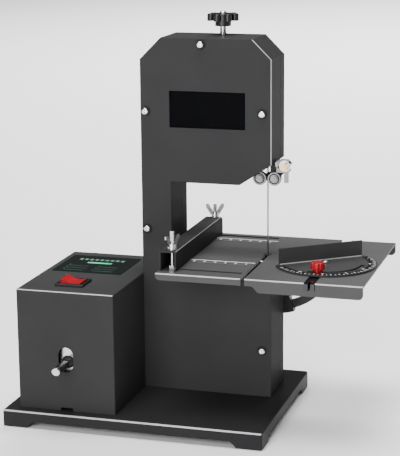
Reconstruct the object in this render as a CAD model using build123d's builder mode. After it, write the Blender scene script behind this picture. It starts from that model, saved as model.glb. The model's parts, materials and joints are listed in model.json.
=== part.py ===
from build123d import *
import os
from math import atan2, cos, degrees, radians, sin, sqrt

# Small desktop band saw. Every piece is modelled in its working place.
# X runs to the right along the front, Y runs to the back and Z is up. The origin
# lies on the ground, in the middle of the machine's footprint.

os.makedirs("parts", exist_ok=True)

# ---------------------------------------------------------------- driving sizes
overall_length = 333.5   # from the base's left edge to the table's right edge
spindle_reach = 14.0     # how far the motor spindle stands out before the base
table_overhang = 14.0    # how far the table reaches behind the base

base_length = 250.0
base_depth = 186.0
base_height = 16.0
base_sheet = 2.0

casing_width = 126.2
casing_depth = 50.0
casing_height = 339.5
casing_offset_x = 107.6  # from the base's left edge to the casing
casing_offset_y = 98.0   # from the base's front edge to the casing
column_width = 29.2
lower_height = 119.7     # height of the lower wheel housing
throat_roof = 204.3      # height of the upper housing's underside
rear_sheet = 2.0
rear_pan_depth = 15.0
cover_sheet = 1.5
seam_gap = 0.3

wheel_radius = 49.5
wheel_width = 12.0
lower_wheel_height = 58.0
upper_wheel_height = 278.0
blade_width = 4.0
blade_thickness = 0.5
blade_offset = 116.6     # from the casing's left side to the blade
blade_depth = 26.0       # from the casing's front to the blade's middle

table_length = 191.0
table_depth = 171.0
table_sheet = 2.0
table_height = 133.7     # from the base to the table's working face
rail_depth = 12.3        # depth of the table's folded front and back edges

box_width = 94.8
box_depth = 148.7
box_height = 114.6
box_sheet = 1.5
box_inset_x = 12.8       # from the base's left edge
box_inset_y = 11.7       # from the base's front edge

fence_width = 16.0
fence_height = 18.5
fence_length = 157.0
fence_sheet = 1.5

running_gap = 0.05       # radial gap of a shaft that turns or slides in a bore
sliding_gap = 0.3        # gap between flat or round faces that pass each other
fixing_gap = 0.2         # radial gap of a screw in a plain hole

# ---------------------------------------------------------------- places
base_left = -overall_length / 2
base_front = -(base_depth + table_overhang - spindle_reach) / 2
base_top = base_height
base_right = base_left + base_length
base_back = base_front + base_depth

casing_left = base_left + casing_offset_x
casing_right = casing_left + casing_width
casing_front = base_front + casing_offset_y
casing_back = casing_front + casing_depth
casing_top = base_top + casing_height
lower_top = base_top + lower_height
roof = base_top + throat_roof
column_right = casing_left + column_width
back_inside = casing_back - rear_sheet
cover_inside = casing_front + cover_sheet
seam = casing_back - rear_pan_depth

blade_x = casing_left + blade_offset
blade_y = casing_front + blade_depth
blade_inner_radius = wheel_radius + sliding_gap
blade_path_radius = blade_inner_radius + blade_thickness / 2
wheel_x = blade_x - blade_path_radius
lower_wheel_z = base_top + lower_wheel_height
upper_wheel_z = base_top + upper_wheel_height

table_top_z = base_top + table_height
table_under = table_top_z - table_sheet
table_right = base_left + overall_length
table_left = table_right - table_length
table_back = base_back + table_overhang
table_front = table_back - table_depth


def across(y):
    """Plane across the machine at depth y; extrusions go towards the front."""
    return Plane.XZ.offset(-y)


def along(x):
    """Plane along the machine at place x; extrusions go to the right."""
    return Plane.YZ.offset(x)


def level(z):
    """Level plane at height z; extrusions go up."""
    return Plane.XY.offset(z)


def panel(first, second, mode=Mode.ADD):
    """Rectangle in a sketch from its (low, high) spans on the two axes."""
    with Locations(((first[0] + first[1]) / 2, (second[0] + second[1]) / 2)):
        Rectangle(first[1] - first[0], second[1] - second[0], mode=mode)


def slab(x, y, z, mode=Mode.ADD):
    """Box in a part from its (low, high) spans."""
    with Locations(((x[0] + x[1]) / 2, (y[0] + y[1]) / 2, (z[0] + z[1]) / 2)):
        Box(x[1] - x[0], y[1] - y[0], z[1] - z[0], mode=mode)


def round_slot(centre, length, width, turn=0, mode=Mode.ADD):
    """Round-ended slot in a sketch, by its overall length."""
    with Locations(centre):
        SlotOverall(length, width, rotation=turn, mode=mode)


# ---------------------------------------------------------------- base
foot_length = 24.0
foot_rise = 5.8
edge_radius = 1.5

with BuildPart() as base_tray:
    with BuildSketch(level(0)):
        panel((base_left, base_right), (base_front, base_back))
    extrude(amount=base_height)
    fillet(base_tray.edges().filter_by(Axis.Z), base_sheet)
    fillet(base_tray.faces().sort_by(Axis.Z)[-1].edges(), edge_radius)
    slab((base_left + base_sheet, base_right - base_sheet),
         (base_front + base_sheet, base_back - base_sheet),
         (0, base_top - base_sheet), mode=Mode.SUBTRACT)
    foot_end = foot_length + foot_rise
    with BuildSketch(across(base_back + 1)):
        with BuildLine():
            Polyline((base_left + foot_length, 0), (base_left + foot_end, foot_rise),
                     (base_right - foot_end, foot_rise), (base_right - foot_length, 0),
                     close=True)
        make_face()
    extrude(amount=base_depth + 2, mode=Mode.SUBTRACT)
    with BuildSketch(along(base_left - 1)):
        with BuildLine():
            Polyline((base_front + foot_length, 0), (base_front + foot_end, foot_rise),
                     (base_back - foot_end, foot_rise), (base_back - foot_length, 0),
                     close=True)
        make_face()
    extrude(amount=base_length + 2, mode=Mode.SUBTRACT)
base_tray.part.label = "base_tray"
export_step(base_tray.part, "parts/base_tray.step")

# ---------------------------------------------------------------- casing
top_left_chamfer = 20.4
top_right_chamfer = 18.0
throat_chamfer_x = 30.5
throat_chamfer_z = 20.0


# C-shaped outline of the casing, seen from the front.
casing_corners = [
    (casing_left, base_top), (casing_right, base_top),
    (casing_right, lower_top), (column_right, lower_top),
    (column_right, roof), (casing_right - throat_chamfer_x, roof),
    (casing_right, roof + throat_chamfer_z),
    (casing_right, casing_top - top_right_chamfer),
    (casing_right - top_right_chamfer, casing_top),
    (casing_left + top_left_chamfer, casing_top),
    (casing_left, casing_top - top_left_chamfer),
]

# Slots that are open to the seam, so that the cover comes off past the blade.
blade_slot_width = 13.0
blade_slot_front = blade_y - 10.0
guide_slot_left = blade_x - 14.6
guide_slot_right = casing_right - 2 * cover_sheet
belt_axis_height = 46.0
belt_slot_low = base_top + 30.0
belt_slot_high = base_top + 72.0
belt_slot_front = casing_front + 3.0

tension_x = casing_left + 69.4
tension_y = seam + 6.0
tension_screw_radius = 3.0

screw_hole_radius = 2.0
screw_places = [
    (casing_left + 59.4, casing_top - 5.5),
    (casing_left + 5.3, base_top + 270.8),
    (casing_right - 8.6, base_top + 271.6),
    (casing_left + 5.3, base_top + 158.5),
    (casing_right - 8.6, base_top + 45.7),
]

# Five strips fixed to the rear sheet hold the cover: each has a foot on the sheet,
# a leg along the wall and a tab behind the cover's face.
strip_sheet = 2.0
strip_width = 9.0
strip_wall_gap = 0.3
strip_foot = 8.0
tab_front = cover_inside
tab_back = tab_front + strip_sheet
tab_margin = 5.0


def strip_corners(wall, inward, tab_length):
    """Corners of one strip in (across, depth), starting from the wall beside it."""
    outer = wall + inward * strip_wall_gap
    inner = outer + inward * strip_sheet
    foot_tip = outer + inward * strip_foot
    tab_tip = outer + inward * tab_length
    return [(outer, tab_front), (tab_tip, tab_front), (tab_tip, tab_back),
            (inner, tab_back), (inner, back_inside - strip_sheet),
            (foot_tip, back_inside - strip_sheet), (foot_tip, back_inside),
            (outer, back_inside)]


with BuildPart() as rear_frame:
    with BuildSketch(across(casing_back)):
        with BuildLine():
            Polyline(*casing_corners, close=True)
        make_face()
    extrude(amount=rear_pan_depth)
    offset(amount=-rear_sheet, openings=rear_frame.faces().sort_by(Axis.Y)[0])
    with BuildSketch(level(casing_top - rear_sheet - 1)):
        with Locations((tension_x, tension_y)):
            Circle(tension_screw_radius + fixing_gap)
    extrude(amount=rear_sheet + 2, mode=Mode.SUBTRACT)
    for place_x, place_z in screw_places[1:]:
        if place_x < wheel_x:
            wall, inward = casing_left + rear_sheet, 1
        else:
            wall, inward = casing_right - rear_sheet, -1
        with BuildSketch(level(place_z - strip_width / 2)):
            with BuildLine():
                Polyline(*strip_corners(wall, inward, abs(place_x - wall) + tab_margin), close=True)
            make_face()
        extrude(amount=strip_width)
    top_x, top_z = screw_places[0]
    top_wall = casing_top - rear_sheet
    with BuildSketch(Plane(origin=(top_x + strip_width / 2, 0, 0), x_dir=(0, 0, 1),
                           z_dir=(-1, 0, 0))):
        with BuildLine():
            Polyline(*strip_corners(top_wall, -1, top_wall - top_z + tab_margin), close=True)
        make_face()
    extrude(amount=strip_width)
    with BuildSketch(across(tab_back + 1)):
        with Locations(*screw_places):
            Circle(screw_hole_radius)
    extrude(amount=strip_sheet + 2, mode=Mode.SUBTRACT)
rear_frame.part.label = "rear_frame"
export_step(rear_frame.part, "parts/rear_frame.step")

window_left = casing_left + 28.4
window_width = 73.0
window_low = base_top + 256.0
window_height = 34.5
cover_back = seam - seam_gap
with BuildPart() as front_cover:
    with BuildSketch(across(cover_back)):
        with BuildLine():
            Polyline(*casing_corners, close=True)
        make_face()
    extrude(amount=cover_back - casing_front)
    fillet(front_cover.faces().sort_by(Axis.Y)[0].edges(), 0.8)
    offset(amount=-cover_sheet, openings=front_cover.faces().sort_by(Axis.Y)[-1])
    with BuildSketch(across(cover_inside + 1)):
        panel((window_left, window_left + window_width),
              (window_low, window_low + window_height))
        with Locations(*screw_places):
            Circle(screw_hole_radius + fixing_gap)
    extrude(amount=cover_sheet + 2, mode=Mode.SUBTRACT)
    slab((blade_x - blade_slot_width / 2, blade_x + blade_slot_width / 2),
         (blade_slot_front, seam), (lower_top - 2 * cover_sheet, lower_top + 1),
         mode=Mode.SUBTRACT)
    slab((guide_slot_left, guide_slot_right), (blade_slot_front, seam),
         (roof - 1, roof + throat_chamfer_z + cover_sheet),
         mode=Mode.SUBTRACT)
    slab((casing_left - 1, casing_left + 2 * cover_sheet),
         (belt_slot_front, seam), (belt_slot_low, belt_slot_high), mode=Mode.SUBTRACT)
front_cover.part.label = "front_cover"
export_step(front_cover.part, "parts/front_cover.step")

pane_lap = 5.0
pane_thickness = 2.0
with BuildPart() as window_pane:
    slab((window_left - pane_lap, window_left + window_width + pane_lap),
         (cover_inside, cover_inside + pane_thickness),
         (window_low - pane_lap, window_low + window_height + pane_lap))
    fillet(window_pane.edges().filter_by(Axis.Y), 2)
window_pane.part.label = "window_pane"
export_step(window_pane.part, "parts/window_pane.step")

washer_radius = 4.6
washer_thickness = 1.0
screw_head_radius = 3.2
screw_head_height = 2.6
screw_length = washer_thickness + tab_back - casing_front + 0.5
washer_front = casing_front - washer_thickness
with BuildPart() as cover_washers:
    with BuildSketch(across(casing_front)):
        with Locations(*screw_places):
            Circle(washer_radius)
            Circle(screw_hole_radius + fixing_gap, mode=Mode.SUBTRACT)
    extrude(amount=washer_thickness)
cover_washers.part.label = "cover_washers"
export_step(cover_washers.part, "parts/cover_washers.step")

cross_width = 1.0
with BuildPart() as cover_screws:
    with BuildSketch(across(washer_front)):
        with Locations(*screw_places):
            Circle(screw_head_radius)
    extrude(amount=screw_head_height)
    fillet(cover_screws.edges().group_by(Axis.Y)[0], 1.2)
    with BuildSketch(across(washer_front - screw_head_height + 1.4)):
        with Locations(*screw_places):
            Rectangle(4, cross_width)
            Rectangle(cross_width, 4)
    extrude(amount=2, mode=Mode.SUBTRACT)
    with BuildSketch(across(washer_front + screw_length)):
        with Locations(*screw_places):
            Circle(screw_hole_radius)
    extrude(amount=screw_length)
cover_screws.part.label = "cover_screws"
export_step(cover_screws.part, "parts/cover_screws.step")


# ---------------------------------------------------------------- wheels
tyre_thickness = 1.5
rim_thickness = 5.0
web_thickness = 4.0
hub_radius = 11.0
spoke_hole_radius = 8.5
spoke_hole_circle = 27.0
spoke_holes = 6
axle_radius = 4.0
bearing_radius = 8.0
bearing_width = 5.0
wheel_front = blade_y - wheel_width / 2
wheel_back = blade_y + wheel_width / 2
hub_back = wheel_back + 1.0
rim_radius = wheel_radius - tyre_thickness

wheel_bores = {"lower_wheel": (lower_wheel_z, axle_radius),
               "upper_wheel": (upper_wheel_z, bearing_radius)}
for name, (centre_z, bore_radius) in wheel_bores.items():
    with BuildPart() as wheel:
        with BuildSketch(across(wheel_back)):
            with Locations((wheel_x, centre_z)):
                Circle(rim_radius)
        extrude(amount=wheel_width)
        recess = (wheel_width - web_thickness) / 2
        for face_y in (wheel_front + recess, wheel_back):
            with BuildSketch(across(face_y)):
                with Locations((wheel_x, centre_z)):
                    Circle(rim_radius - rim_thickness)
                    Circle(hub_radius, mode=Mode.SUBTRACT)
            extrude(amount=recess, mode=Mode.SUBTRACT)
        with BuildSketch(across(hub_back)):
            with Locations((wheel_x, centre_z)):
                Circle(hub_radius)
        extrude(amount=hub_back - wheel_front)
        with BuildSketch(across(hub_back)):
            with Locations((wheel_x, centre_z)):
                Circle(bore_radius)
                with PolarLocations(spoke_hole_circle, spoke_holes):
                    Circle(spoke_hole_radius)
        extrude(amount=hub_back - wheel_front + 1, mode=Mode.SUBTRACT)
    wheel.part.label = name
    export_step(wheel.part, f"parts/{name}.step")

for name, centre_z in (("lower_tyre", lower_wheel_z), ("upper_tyre", upper_wheel_z)):
    with BuildPart() as tyre:
        with BuildSketch(across(wheel_back)):
            with Locations((wheel_x, centre_z)):
                Circle(wheel_radius)
                Circle(rim_radius, mode=Mode.SUBTRACT)
        extrude(amount=wheel_width)
    tyre.part.label = name
    export_step(tyre.part, f"parts/{name}.step")

with BuildPart() as upper_wheel_bearings:
    for back in (wheel_front + bearing_width, hub_back):
        with BuildSketch(across(back)):
            with Locations((wheel_x, upper_wheel_z)):
                Circle(bearing_radius)
                Circle(axle_radius + running_gap, mode=Mode.SUBTRACT)
        extrude(amount=bearing_width)
upper_wheel_bearings.part.label = "upper_wheel_bearings"
export_step(upper_wheel_bearings.part, "parts/upper_wheel_bearings.step")

# The blade is one endless loop round both wheels.
blade_front = blade_y - blade_width / 2
blade_back = blade_y + blade_width / 2
wheel_distance = upper_wheel_z - lower_wheel_z
with BuildPart() as saw_blade:
    with BuildSketch(across(blade_back)):
        with Locations((wheel_x, (lower_wheel_z + upper_wheel_z) / 2)):
            SlotCenterToCenter(wheel_distance, 2 * (blade_inner_radius + blade_thickness),
                               rotation=90)
            SlotCenterToCenter(wheel_distance, 2 * blade_inner_radius, rotation=90,
                               mode=Mode.SUBTRACT)
    extrude(amount=blade_width)
saw_blade.part.label = "saw_blade"
export_step(saw_blade.part, "parts/saw_blade.step")

# ---------------------------------------------------------------- upper wheel carriage
carriage_width = 36.0
carriage_height = 44.0
carriage_front = hub_back + 1.5
carriage_back = back_inside - 2.0
axle_collar_radius = 6.5
axle_collar_length = 1.5
tension_travel = 5.0
screw_grip = 12.0
carriage_top = upper_wheel_z + carriage_height / 2

with BuildPart() as wheel_carriage:
    slab((tension_x - carriage_width / 2, tension_x + carriage_width / 2),
         (carriage_front, carriage_back),
         (upper_wheel_z - carriage_height / 2, carriage_top))
    fillet(wheel_carriage.edges().filter_by(Axis.Y), 2)
    with BuildSketch(across(carriage_back)):
        with Locations((wheel_x, upper_wheel_z)):
            Circle(axle_radius)
    extrude(amount=carriage_back - carriage_front + 1, mode=Mode.SUBTRACT)
    with BuildSketch(level(carriage_top - screw_grip)):
        with Locations((tension_x, tension_y)):
            Circle(tension_screw_radius + running_gap)
    extrude(amount=screw_grip + 1, mode=Mode.SUBTRACT)
wheel_carriage.part.label = "wheel_carriage"
export_step(wheel_carriage.part, "parts/wheel_carriage.step")

axle_front = wheel_front - 3.0
with BuildPart() as upper_axle:
    with BuildSketch(across(carriage_back)):
        with Locations((wheel_x, upper_wheel_z)):
            Circle(axle_radius)
    extrude(amount=carriage_back - axle_front)
    collar_places = (carriage_front, wheel_front - sliding_gap)
    for back, length in zip(collar_places, (carriage_front - hub_back - sliding_gap,
                                            axle_collar_length)):
        with BuildSketch(across(back)):
            with Locations((wheel_x, upper_wheel_z)):
                Circle(axle_collar_radius)
        extrude(amount=length)
upper_axle.part.label = "upper_axle"
export_step(upper_axle.part, "parts/upper_axle.step")

rail_width = 6.0
rail_lip = 3.0
rail_sheet = 2.0
rail_low = upper_wheel_z - carriage_height / 2 - tension_travel - 4
rail_high = carriage_top + 4
rail_front = carriage_front - sliding_gap - rail_sheet
with BuildPart() as carriage_rails:
    for side in (-1, 1):
        wall = tension_x + side * (carriage_width / 2 + sliding_gap)
        outside = wall + side * rail_width
        tip = wall - side * rail_lip
        slab(sorted((wall, outside)), (rail_front, back_inside), (rail_low, rail_high))
        slab(sorted((tip, outside)), (rail_front, rail_front + rail_sheet),
             (rail_low, rail_high))
carriage_rails.part.label = "carriage_rails"
export_step(carriage_rails.part, "parts/carriage_rails.step")

nut_flats = 10.0
nut_height = 5.0
nut_top = casing_top - rear_sheet
with BuildPart() as tension_nut:
    with BuildSketch(level(nut_top - nut_height)):
        with Locations((tension_x, tension_y)):
            RegularPolygon(nut_flats / 2, 6, major_radius=False, rotation=30)
            Circle(tension_screw_radius + running_gap, mode=Mode.SUBTRACT)
    extrude(amount=nut_height)
tension_nut.part.label = "tension_nut"
export_step(tension_nut.part, "parts/tension_nut.step")

# Star knob on the tension screw.
knob_radius = 15.0
knob_lobes = 7
knob_lobe_radius = 3.4
knob_hub_radius = 7.5
knob_hub_low = casing_top + 7.9
knob_rim_low = casing_top + 12.9
knob_rim_high = casing_top + 19.6
screw_top = casing_top + 21.5
with BuildPart() as tension_knob:
    with BuildSketch(level(knob_rim_low)):
        with Locations((tension_x, tension_y)):
            Circle(knob_radius - 1.6 * knob_lobe_radius)
            with PolarLocations(knob_radius - knob_lobe_radius, knob_lobes):
                Circle(knob_lobe_radius)
    extrude(amount=knob_rim_high - knob_rim_low)
    fillet(tension_knob.faces().sort_by(Axis.Z)[-1].edges(), 1.2)
    with BuildSketch(level(knob_hub_low)):
        with Locations((tension_x, tension_y)):
            Circle(knob_hub_radius)
    extrude(amount=knob_rim_high - knob_hub_low)
    with BuildSketch(level(knob_hub_low)):
        with Locations((tension_x, tension_y)):
            Circle(tension_screw_radius)
    extrude(amount=screw_top - knob_hub_low, mode=Mode.SUBTRACT)
tension_knob.part.label = "tension_knob"
export_step(tension_knob.part, "parts/tension_knob.step")

screw_bottom = carriage_top - screw_grip + sliding_gap
with BuildPart() as tension_screw:
    with BuildSketch(level(screw_bottom)):
        with Locations((tension_x, tension_y)):
            Circle(tension_screw_radius)
    extrude(amount=screw_top - screw_bottom)
    chamfer(tension_screw.faces().sort_by(Axis.Z)[-1].edges(), 0.6)
tension_screw.part.label = "tension_screw"
export_step(tension_screw.part, "parts/tension_screw.step")

# ---------------------------------------------------------------- lower wheel drive
driven_pulley_radius = 20.0
pulley_width = 10.0
pulley_back = wheel_front - 3.0
pulley_front = pulley_back - pulley_width
flange_sheet = 1.0
flange_height = 1.8
belt_thickness = 1.5
belt_width = 7.0
motor_pulley_radius = 8.0
motor_x = base_left + 60.1
motor_z = base_top + belt_axis_height
shaft_front = pulley_front - 2.0
bearing_block_front = hub_back + 1.5


def pulley(x, z, radius, bore):
    """Belt pulley between two thin flanges, bored for its shaft."""
    with BuildPart() as made:
        with BuildSketch(across(pulley_back)):
            with Locations((x, z)):
                Circle(radius)
        extrude(amount=pulley_width)
        for back in (pulley_back, pulley_front + flange_sheet):
            with BuildSketch(across(back)):
                with Locations((x, z)):
                    Circle(radius + flange_height)
            extrude(amount=flange_sheet)
        with BuildSketch(across(pulley_back)):
            with Locations((x, z)):
                Circle(bore)
        extrude(amount=pulley_width, mode=Mode.SUBTRACT)
    return made


driven_pulley = pulley(wheel_x, lower_wheel_z, driven_pulley_radius, axle_radius)
driven_pulley.part.label = "driven_pulley"
export_step(driven_pulley.part, "parts/driven_pulley.step")

with BuildPart() as lower_shaft:
    with BuildSketch(across(back_inside - 1)):
        with Locations((wheel_x, lower_wheel_z)):
            Circle(axle_radius)
    extrude(amount=back_inside - 1 - shaft_front)
lower_shaft.part.label = "lower_shaft"
export_step(lower_shaft.part, "parts/lower_shaft.step")

block_radius = 13.0
with BuildPart() as bearing_block:
    with BuildSketch(across(back_inside)):
        with Locations((wheel_x, lower_wheel_z)):
            Circle(block_radius)
            Circle(bearing_radius, mode=Mode.SUBTRACT)
    extrude(amount=back_inside - bearing_block_front)
    with BuildSketch(across(back_inside)):
        with Locations((wheel_x, lower_wheel_z)):
            Rectangle(2 * block_radius + 14, 2 * block_radius + 14)
            Circle(bearing_radius, mode=Mode.SUBTRACT)
    extrude(amount=3)
bearing_block.part.label = "bearing_block"
export_step(bearing_block.part, "parts/bearing_block.step")

with BuildPart() as shaft_bearings:
    for back in (bearing_block_front + bearing_width, back_inside):
        with BuildSketch(across(back)):
            with Locations((wheel_x, lower_wheel_z)):
                Circle(bearing_radius)
                Circle(axle_radius + running_gap, mode=Mode.SUBTRACT)
        extrude(amount=bearing_width)
shaft_bearings.part.label = "shaft_bearings"
export_step(shaft_bearings.part, "parts/shaft_bearings.step")

# The belt wraps both pulleys and is tangent to them.
belt_run = sqrt((wheel_x - motor_x) ** 2 + (lower_wheel_z - motor_z) ** 2)
belt_slope = degrees(atan2(lower_wheel_z - motor_z, wheel_x - motor_x))


def belt_outline(growth, mode=Mode.ADD):
    """Outline of an open belt round both pulleys, grown beyond their faces."""
    small = motor_pulley_radius + growth
    large = driven_pulley_radius + growth
    lean = (large - small) / belt_run
    rise = sqrt(1 - lean ** 2)
    small_tangent = (-small * lean, small * rise)
    large_tangent = (belt_run - large * lean, large * rise)
    with BuildLine(mode=Mode.PRIVATE) as route:
        Line(small_tangent, large_tangent)
        ThreePointArc(large_tangent, (belt_run + large, 0),
                            (large_tangent[0], -large_tangent[1]))
        Line((large_tangent[0], -large_tangent[1]),
                     (small_tangent[0], -small_tangent[1]))
        ThreePointArc((small_tangent[0], -small_tangent[1]), (-small, 0),
                             small_tangent)
    make_face(route.edges(), mode=mode)


belt_middle = (pulley_front + pulley_back) / 2
belt_plane = Plane(origin=(motor_x, belt_middle + belt_width / 2, motor_z),
                   x_dir=(cos(radians(belt_slope)), 0, sin(radians(belt_slope))),
                   z_dir=(0, -1, 0))
with BuildPart() as drive_belt:
    with BuildSketch(belt_plane):
        belt_outline(sliding_gap + belt_thickness)
        belt_outline(sliding_gap, mode=Mode.SUBTRACT)
    extrude(amount=belt_width)
drive_belt.part.label = "drive_belt"
export_step(drive_belt.part, "parts/drive_belt.step")


# ---------------------------------------------------------------- blade guides
guide_radius = 6.5
guide_bore = 2.05
guide_width = 5.0
shield_depth = 0.4
shield_inner = 3.2
shield_outer = 5.4
guide_offset = guide_radius + blade_thickness / 2 + sliding_gap
guide_front = blade_y - guide_width
arm_front = blade_back + 1.0
arm_back = arm_front + 4.0
upper_guide_z = base_top + 207.6
pin_radius = guide_bore - running_gap
pin_head_radius = 3.0
pin_head_length = 2.0

guide_places = {
    "upper_guide_bearing_left": (blade_x - guide_offset, upper_guide_z),
    "upper_guide_bearing_right": (blade_x + guide_offset, upper_guide_z),
}
for name, place in guide_places.items():
    with BuildPart() as guide_bearing:
        with BuildSketch(across(guide_front + guide_width)):
            with Locations(place):
                Circle(guide_radius)
                Circle(guide_bore, mode=Mode.SUBTRACT)
        extrude(amount=guide_width)
        fillet(guide_bearing.edges().filter_by(GeomType.CIRCLE).sort_by(SortBy.RADIUS)[-2:], 0.4)
        for face_y in (guide_front + shield_depth, guide_front + guide_width):
            with BuildSketch(across(face_y)):
                with Locations(place):
                    Circle(shield_outer)
                    Circle(shield_inner, mode=Mode.SUBTRACT)
            extrude(amount=shield_depth, mode=Mode.SUBTRACT)
    guide_bearing.part.label = name
    export_step(guide_bearing.part, f"parts/{name}.step")

with BuildPart() as guide_pins:
    with BuildSketch(across(arm_back)):
        with Locations(*guide_places.values()):
            Circle(pin_radius)
    extrude(amount=arm_back - guide_front + sliding_gap)
    with BuildSketch(across(arm_front)):
        with Locations(*guide_places.values()):
            Circle(pin_head_radius)
    extrude(amount=arm_front - guide_front - guide_width - sliding_gap)
    with BuildSketch(across(guide_front - sliding_gap)):
        with Locations(*guide_places.values()):
            Circle(pin_head_radius)
    extrude(amount=pin_head_length)
guide_pins.part.label = "guide_pins"
export_step(guide_pins.part, "parts/guide_pins.step")

# The upper arm follows the sloping corner of the casing and hangs from the rear sheet.
thumb_x = casing_right + 8.6
thumb_z = base_top + 221.1
thumb_bore = 2.05
arm_boss = 3.6
stem_left = blade_x + 1.4
stem_right = stem_left + 4.6
stem_top = roof + 34.0
with BuildPart() as upper_guide_arm:
    with BuildSketch(across(arm_back)):
        with BuildLine():
            Polyline((blade_x - guide_offset, upper_guide_z - arm_boss),
                     (blade_x + guide_offset, upper_guide_z - arm_boss),
                     (thumb_x, thumb_z - 1.4 * arm_boss),
                     (thumb_x + arm_boss, thumb_z), (thumb_x, thumb_z + arm_boss),
                     (casing_right + 1.5, thumb_z + arm_boss),
                     (casing_right + 1.5, roof + throat_chamfer_z - 3.0),
                     (stem_right, roof + 12.5), (stem_right, stem_top),
                     (stem_left, stem_top), (stem_left, roof + 8.5),
                     (blade_x - guide_offset - arm_boss, upper_guide_z), close=True)
        make_face()
    extrude(amount=arm_back - arm_front)
    slab((stem_left, stem_right), (arm_front, back_inside), (stem_top - 10, stem_top))
    with BuildSketch(across(arm_back)):
        with Locations((blade_x - guide_offset, upper_guide_z),
                       (blade_x + guide_offset, upper_guide_z)):
            Circle(pin_radius)
        with Locations((thumb_x, thumb_z)):
            Circle(thumb_bore)
    extrude(amount=arm_back - arm_front, mode=Mode.SUBTRACT)
upper_guide_arm.part.label = "upper_guide_arm"
export_step(upper_guide_arm.part, "parts/upper_guide_arm.step")

# Below the table the blade runs through a slot in a plastic block.
lower_guide_z = base_top + 98.0
guide_block_half = 6.0
guide_block_front = blade_front - 3.0
with BuildPart() as lower_guide_block:
    slab((blade_x - guide_block_half, blade_x + guide_block_half),
         (guide_block_front, back_inside),
         (lower_guide_z - guide_block_half, lower_guide_z + guide_block_half))
    slab((blade_x - blade_thickness / 2 - sliding_gap, blade_x + blade_thickness / 2 + sliding_gap),
         (guide_block_front - 1, blade_back + sliding_gap),
         (lower_guide_z - 2 * guide_block_half, lower_guide_z + 2 * guide_block_half),
         mode=Mode.SUBTRACT)
lower_guide_block.part.label = "lower_guide_block"
export_step(lower_guide_block.part, "parts/lower_guide_block.step")

# Steel angle bracket that the thumb screw clamps to the arm.
bracket_front = guide_front - 3.5
bracket_sheet = 2.0
bracket_left = casing_right + 0.5
bracket_right = thumb_x + 3.4
bracket_top = base_top + 226.6
bracket_low = base_top + 205.0
bracket_leg = 4.2
bracket_shelf = base_top + 214.5
bracket_hole = (casing_right + 3.0, base_top + 219.8)
bracket_back = bracket_front + bracket_sheet
with BuildPart() as guide_bracket:
    with BuildSketch(across(bracket_back)):
        with BuildLine():
            Polyline((bracket_left, bracket_shelf), (bracket_right - bracket_leg, bracket_shelf),
                     (bracket_right - bracket_leg, bracket_low), (bracket_right, bracket_low),
                     (bracket_right, bracket_top), (bracket_left, bracket_top), close=True)
        make_face()
    extrude(amount=bracket_sheet)
    slab((bracket_left, bracket_right), (bracket_back, arm_front),
         (bracket_shelf, bracket_shelf + bracket_sheet))
    with BuildSketch(across(arm_front)):
        with Locations((thumb_x, thumb_z)):
            Circle(arm_boss)
    extrude(amount=arm_front - bracket_back)
    with BuildSketch(across(arm_front)):
        with Locations((thumb_x, thumb_z)):
            Circle(thumb_bore)
        with Locations(bracket_hole):
            Circle(1.4)
    extrude(amount=arm_front - bracket_front, mode=Mode.SUBTRACT)
guide_bracket.part.label = "guide_bracket"
export_step(guide_bracket.part, "parts/guide_bracket.step")

thumb_washer_radius = 5.2
thumb_washer = 1.0
thumb_head_radius = 4.6
thumb_head_length = 7.0
thumb_washer_front = bracket_front - thumb_washer
thumb_head_back = thumb_washer_front - 0.1
with BuildPart() as thumb_screw_washer:
    with BuildSketch(across(bracket_front)):
        with Locations((thumb_x, thumb_z)):
            Circle(thumb_washer_radius)
            Circle(thumb_bore, mode=Mode.SUBTRACT)
    extrude(amount=thumb_washer)
thumb_screw_washer.part.label = "thumb_screw_washer"
export_step(thumb_screw_washer.part, "parts/thumb_screw_washer.step")

grip_flutes = 24
with BuildPart() as brass_thumb_screw:
    with BuildSketch(across(thumb_head_back)):
        with Locations((thumb_x, thumb_z)):
            Circle(thumb_head_radius)
            with PolarLocations(thumb_head_radius, grip_flutes):
                Circle(0.25, mode=Mode.SUBTRACT)
    extrude(amount=thumb_head_length)
    with BuildSketch(across(arm_back + 1)):
        with Locations((thumb_x, thumb_z)):
            Circle(thumb_bore - running_gap)
    extrude(amount=arm_back + 1 - thumb_head_back)
brass_thumb_screw.part.label = "brass_thumb_screw"
export_step(brass_thumb_screw.part, "parts/brass_thumb_screw.step")


# ---------------------------------------------------------------- table
slit_width = 3.8
blade_hole_radius = 4.0
front_rail_step_x = table_left + 96.0
shallow_rail = 6.5
rail_corner = 5.0
fence_slot_width = 4.4
fence_slot_left = table_left + 8.6
fence_slot_right = table_left + 77.0
fence_slots_y = (table_front + 19.0, table_back - 11.0)
groove_x = table_left + 143.0
groove_width = 10.0
bar_height = 6.0
bar_gap = 0.25
track_floor = table_top_z - bar_height - 1.0
blade_slit = (blade_x - slit_width / 2, blade_x + slit_width / 2)
groove = (groove_x - groove_width / 2, groove_x + groove_width / 2)

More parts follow.
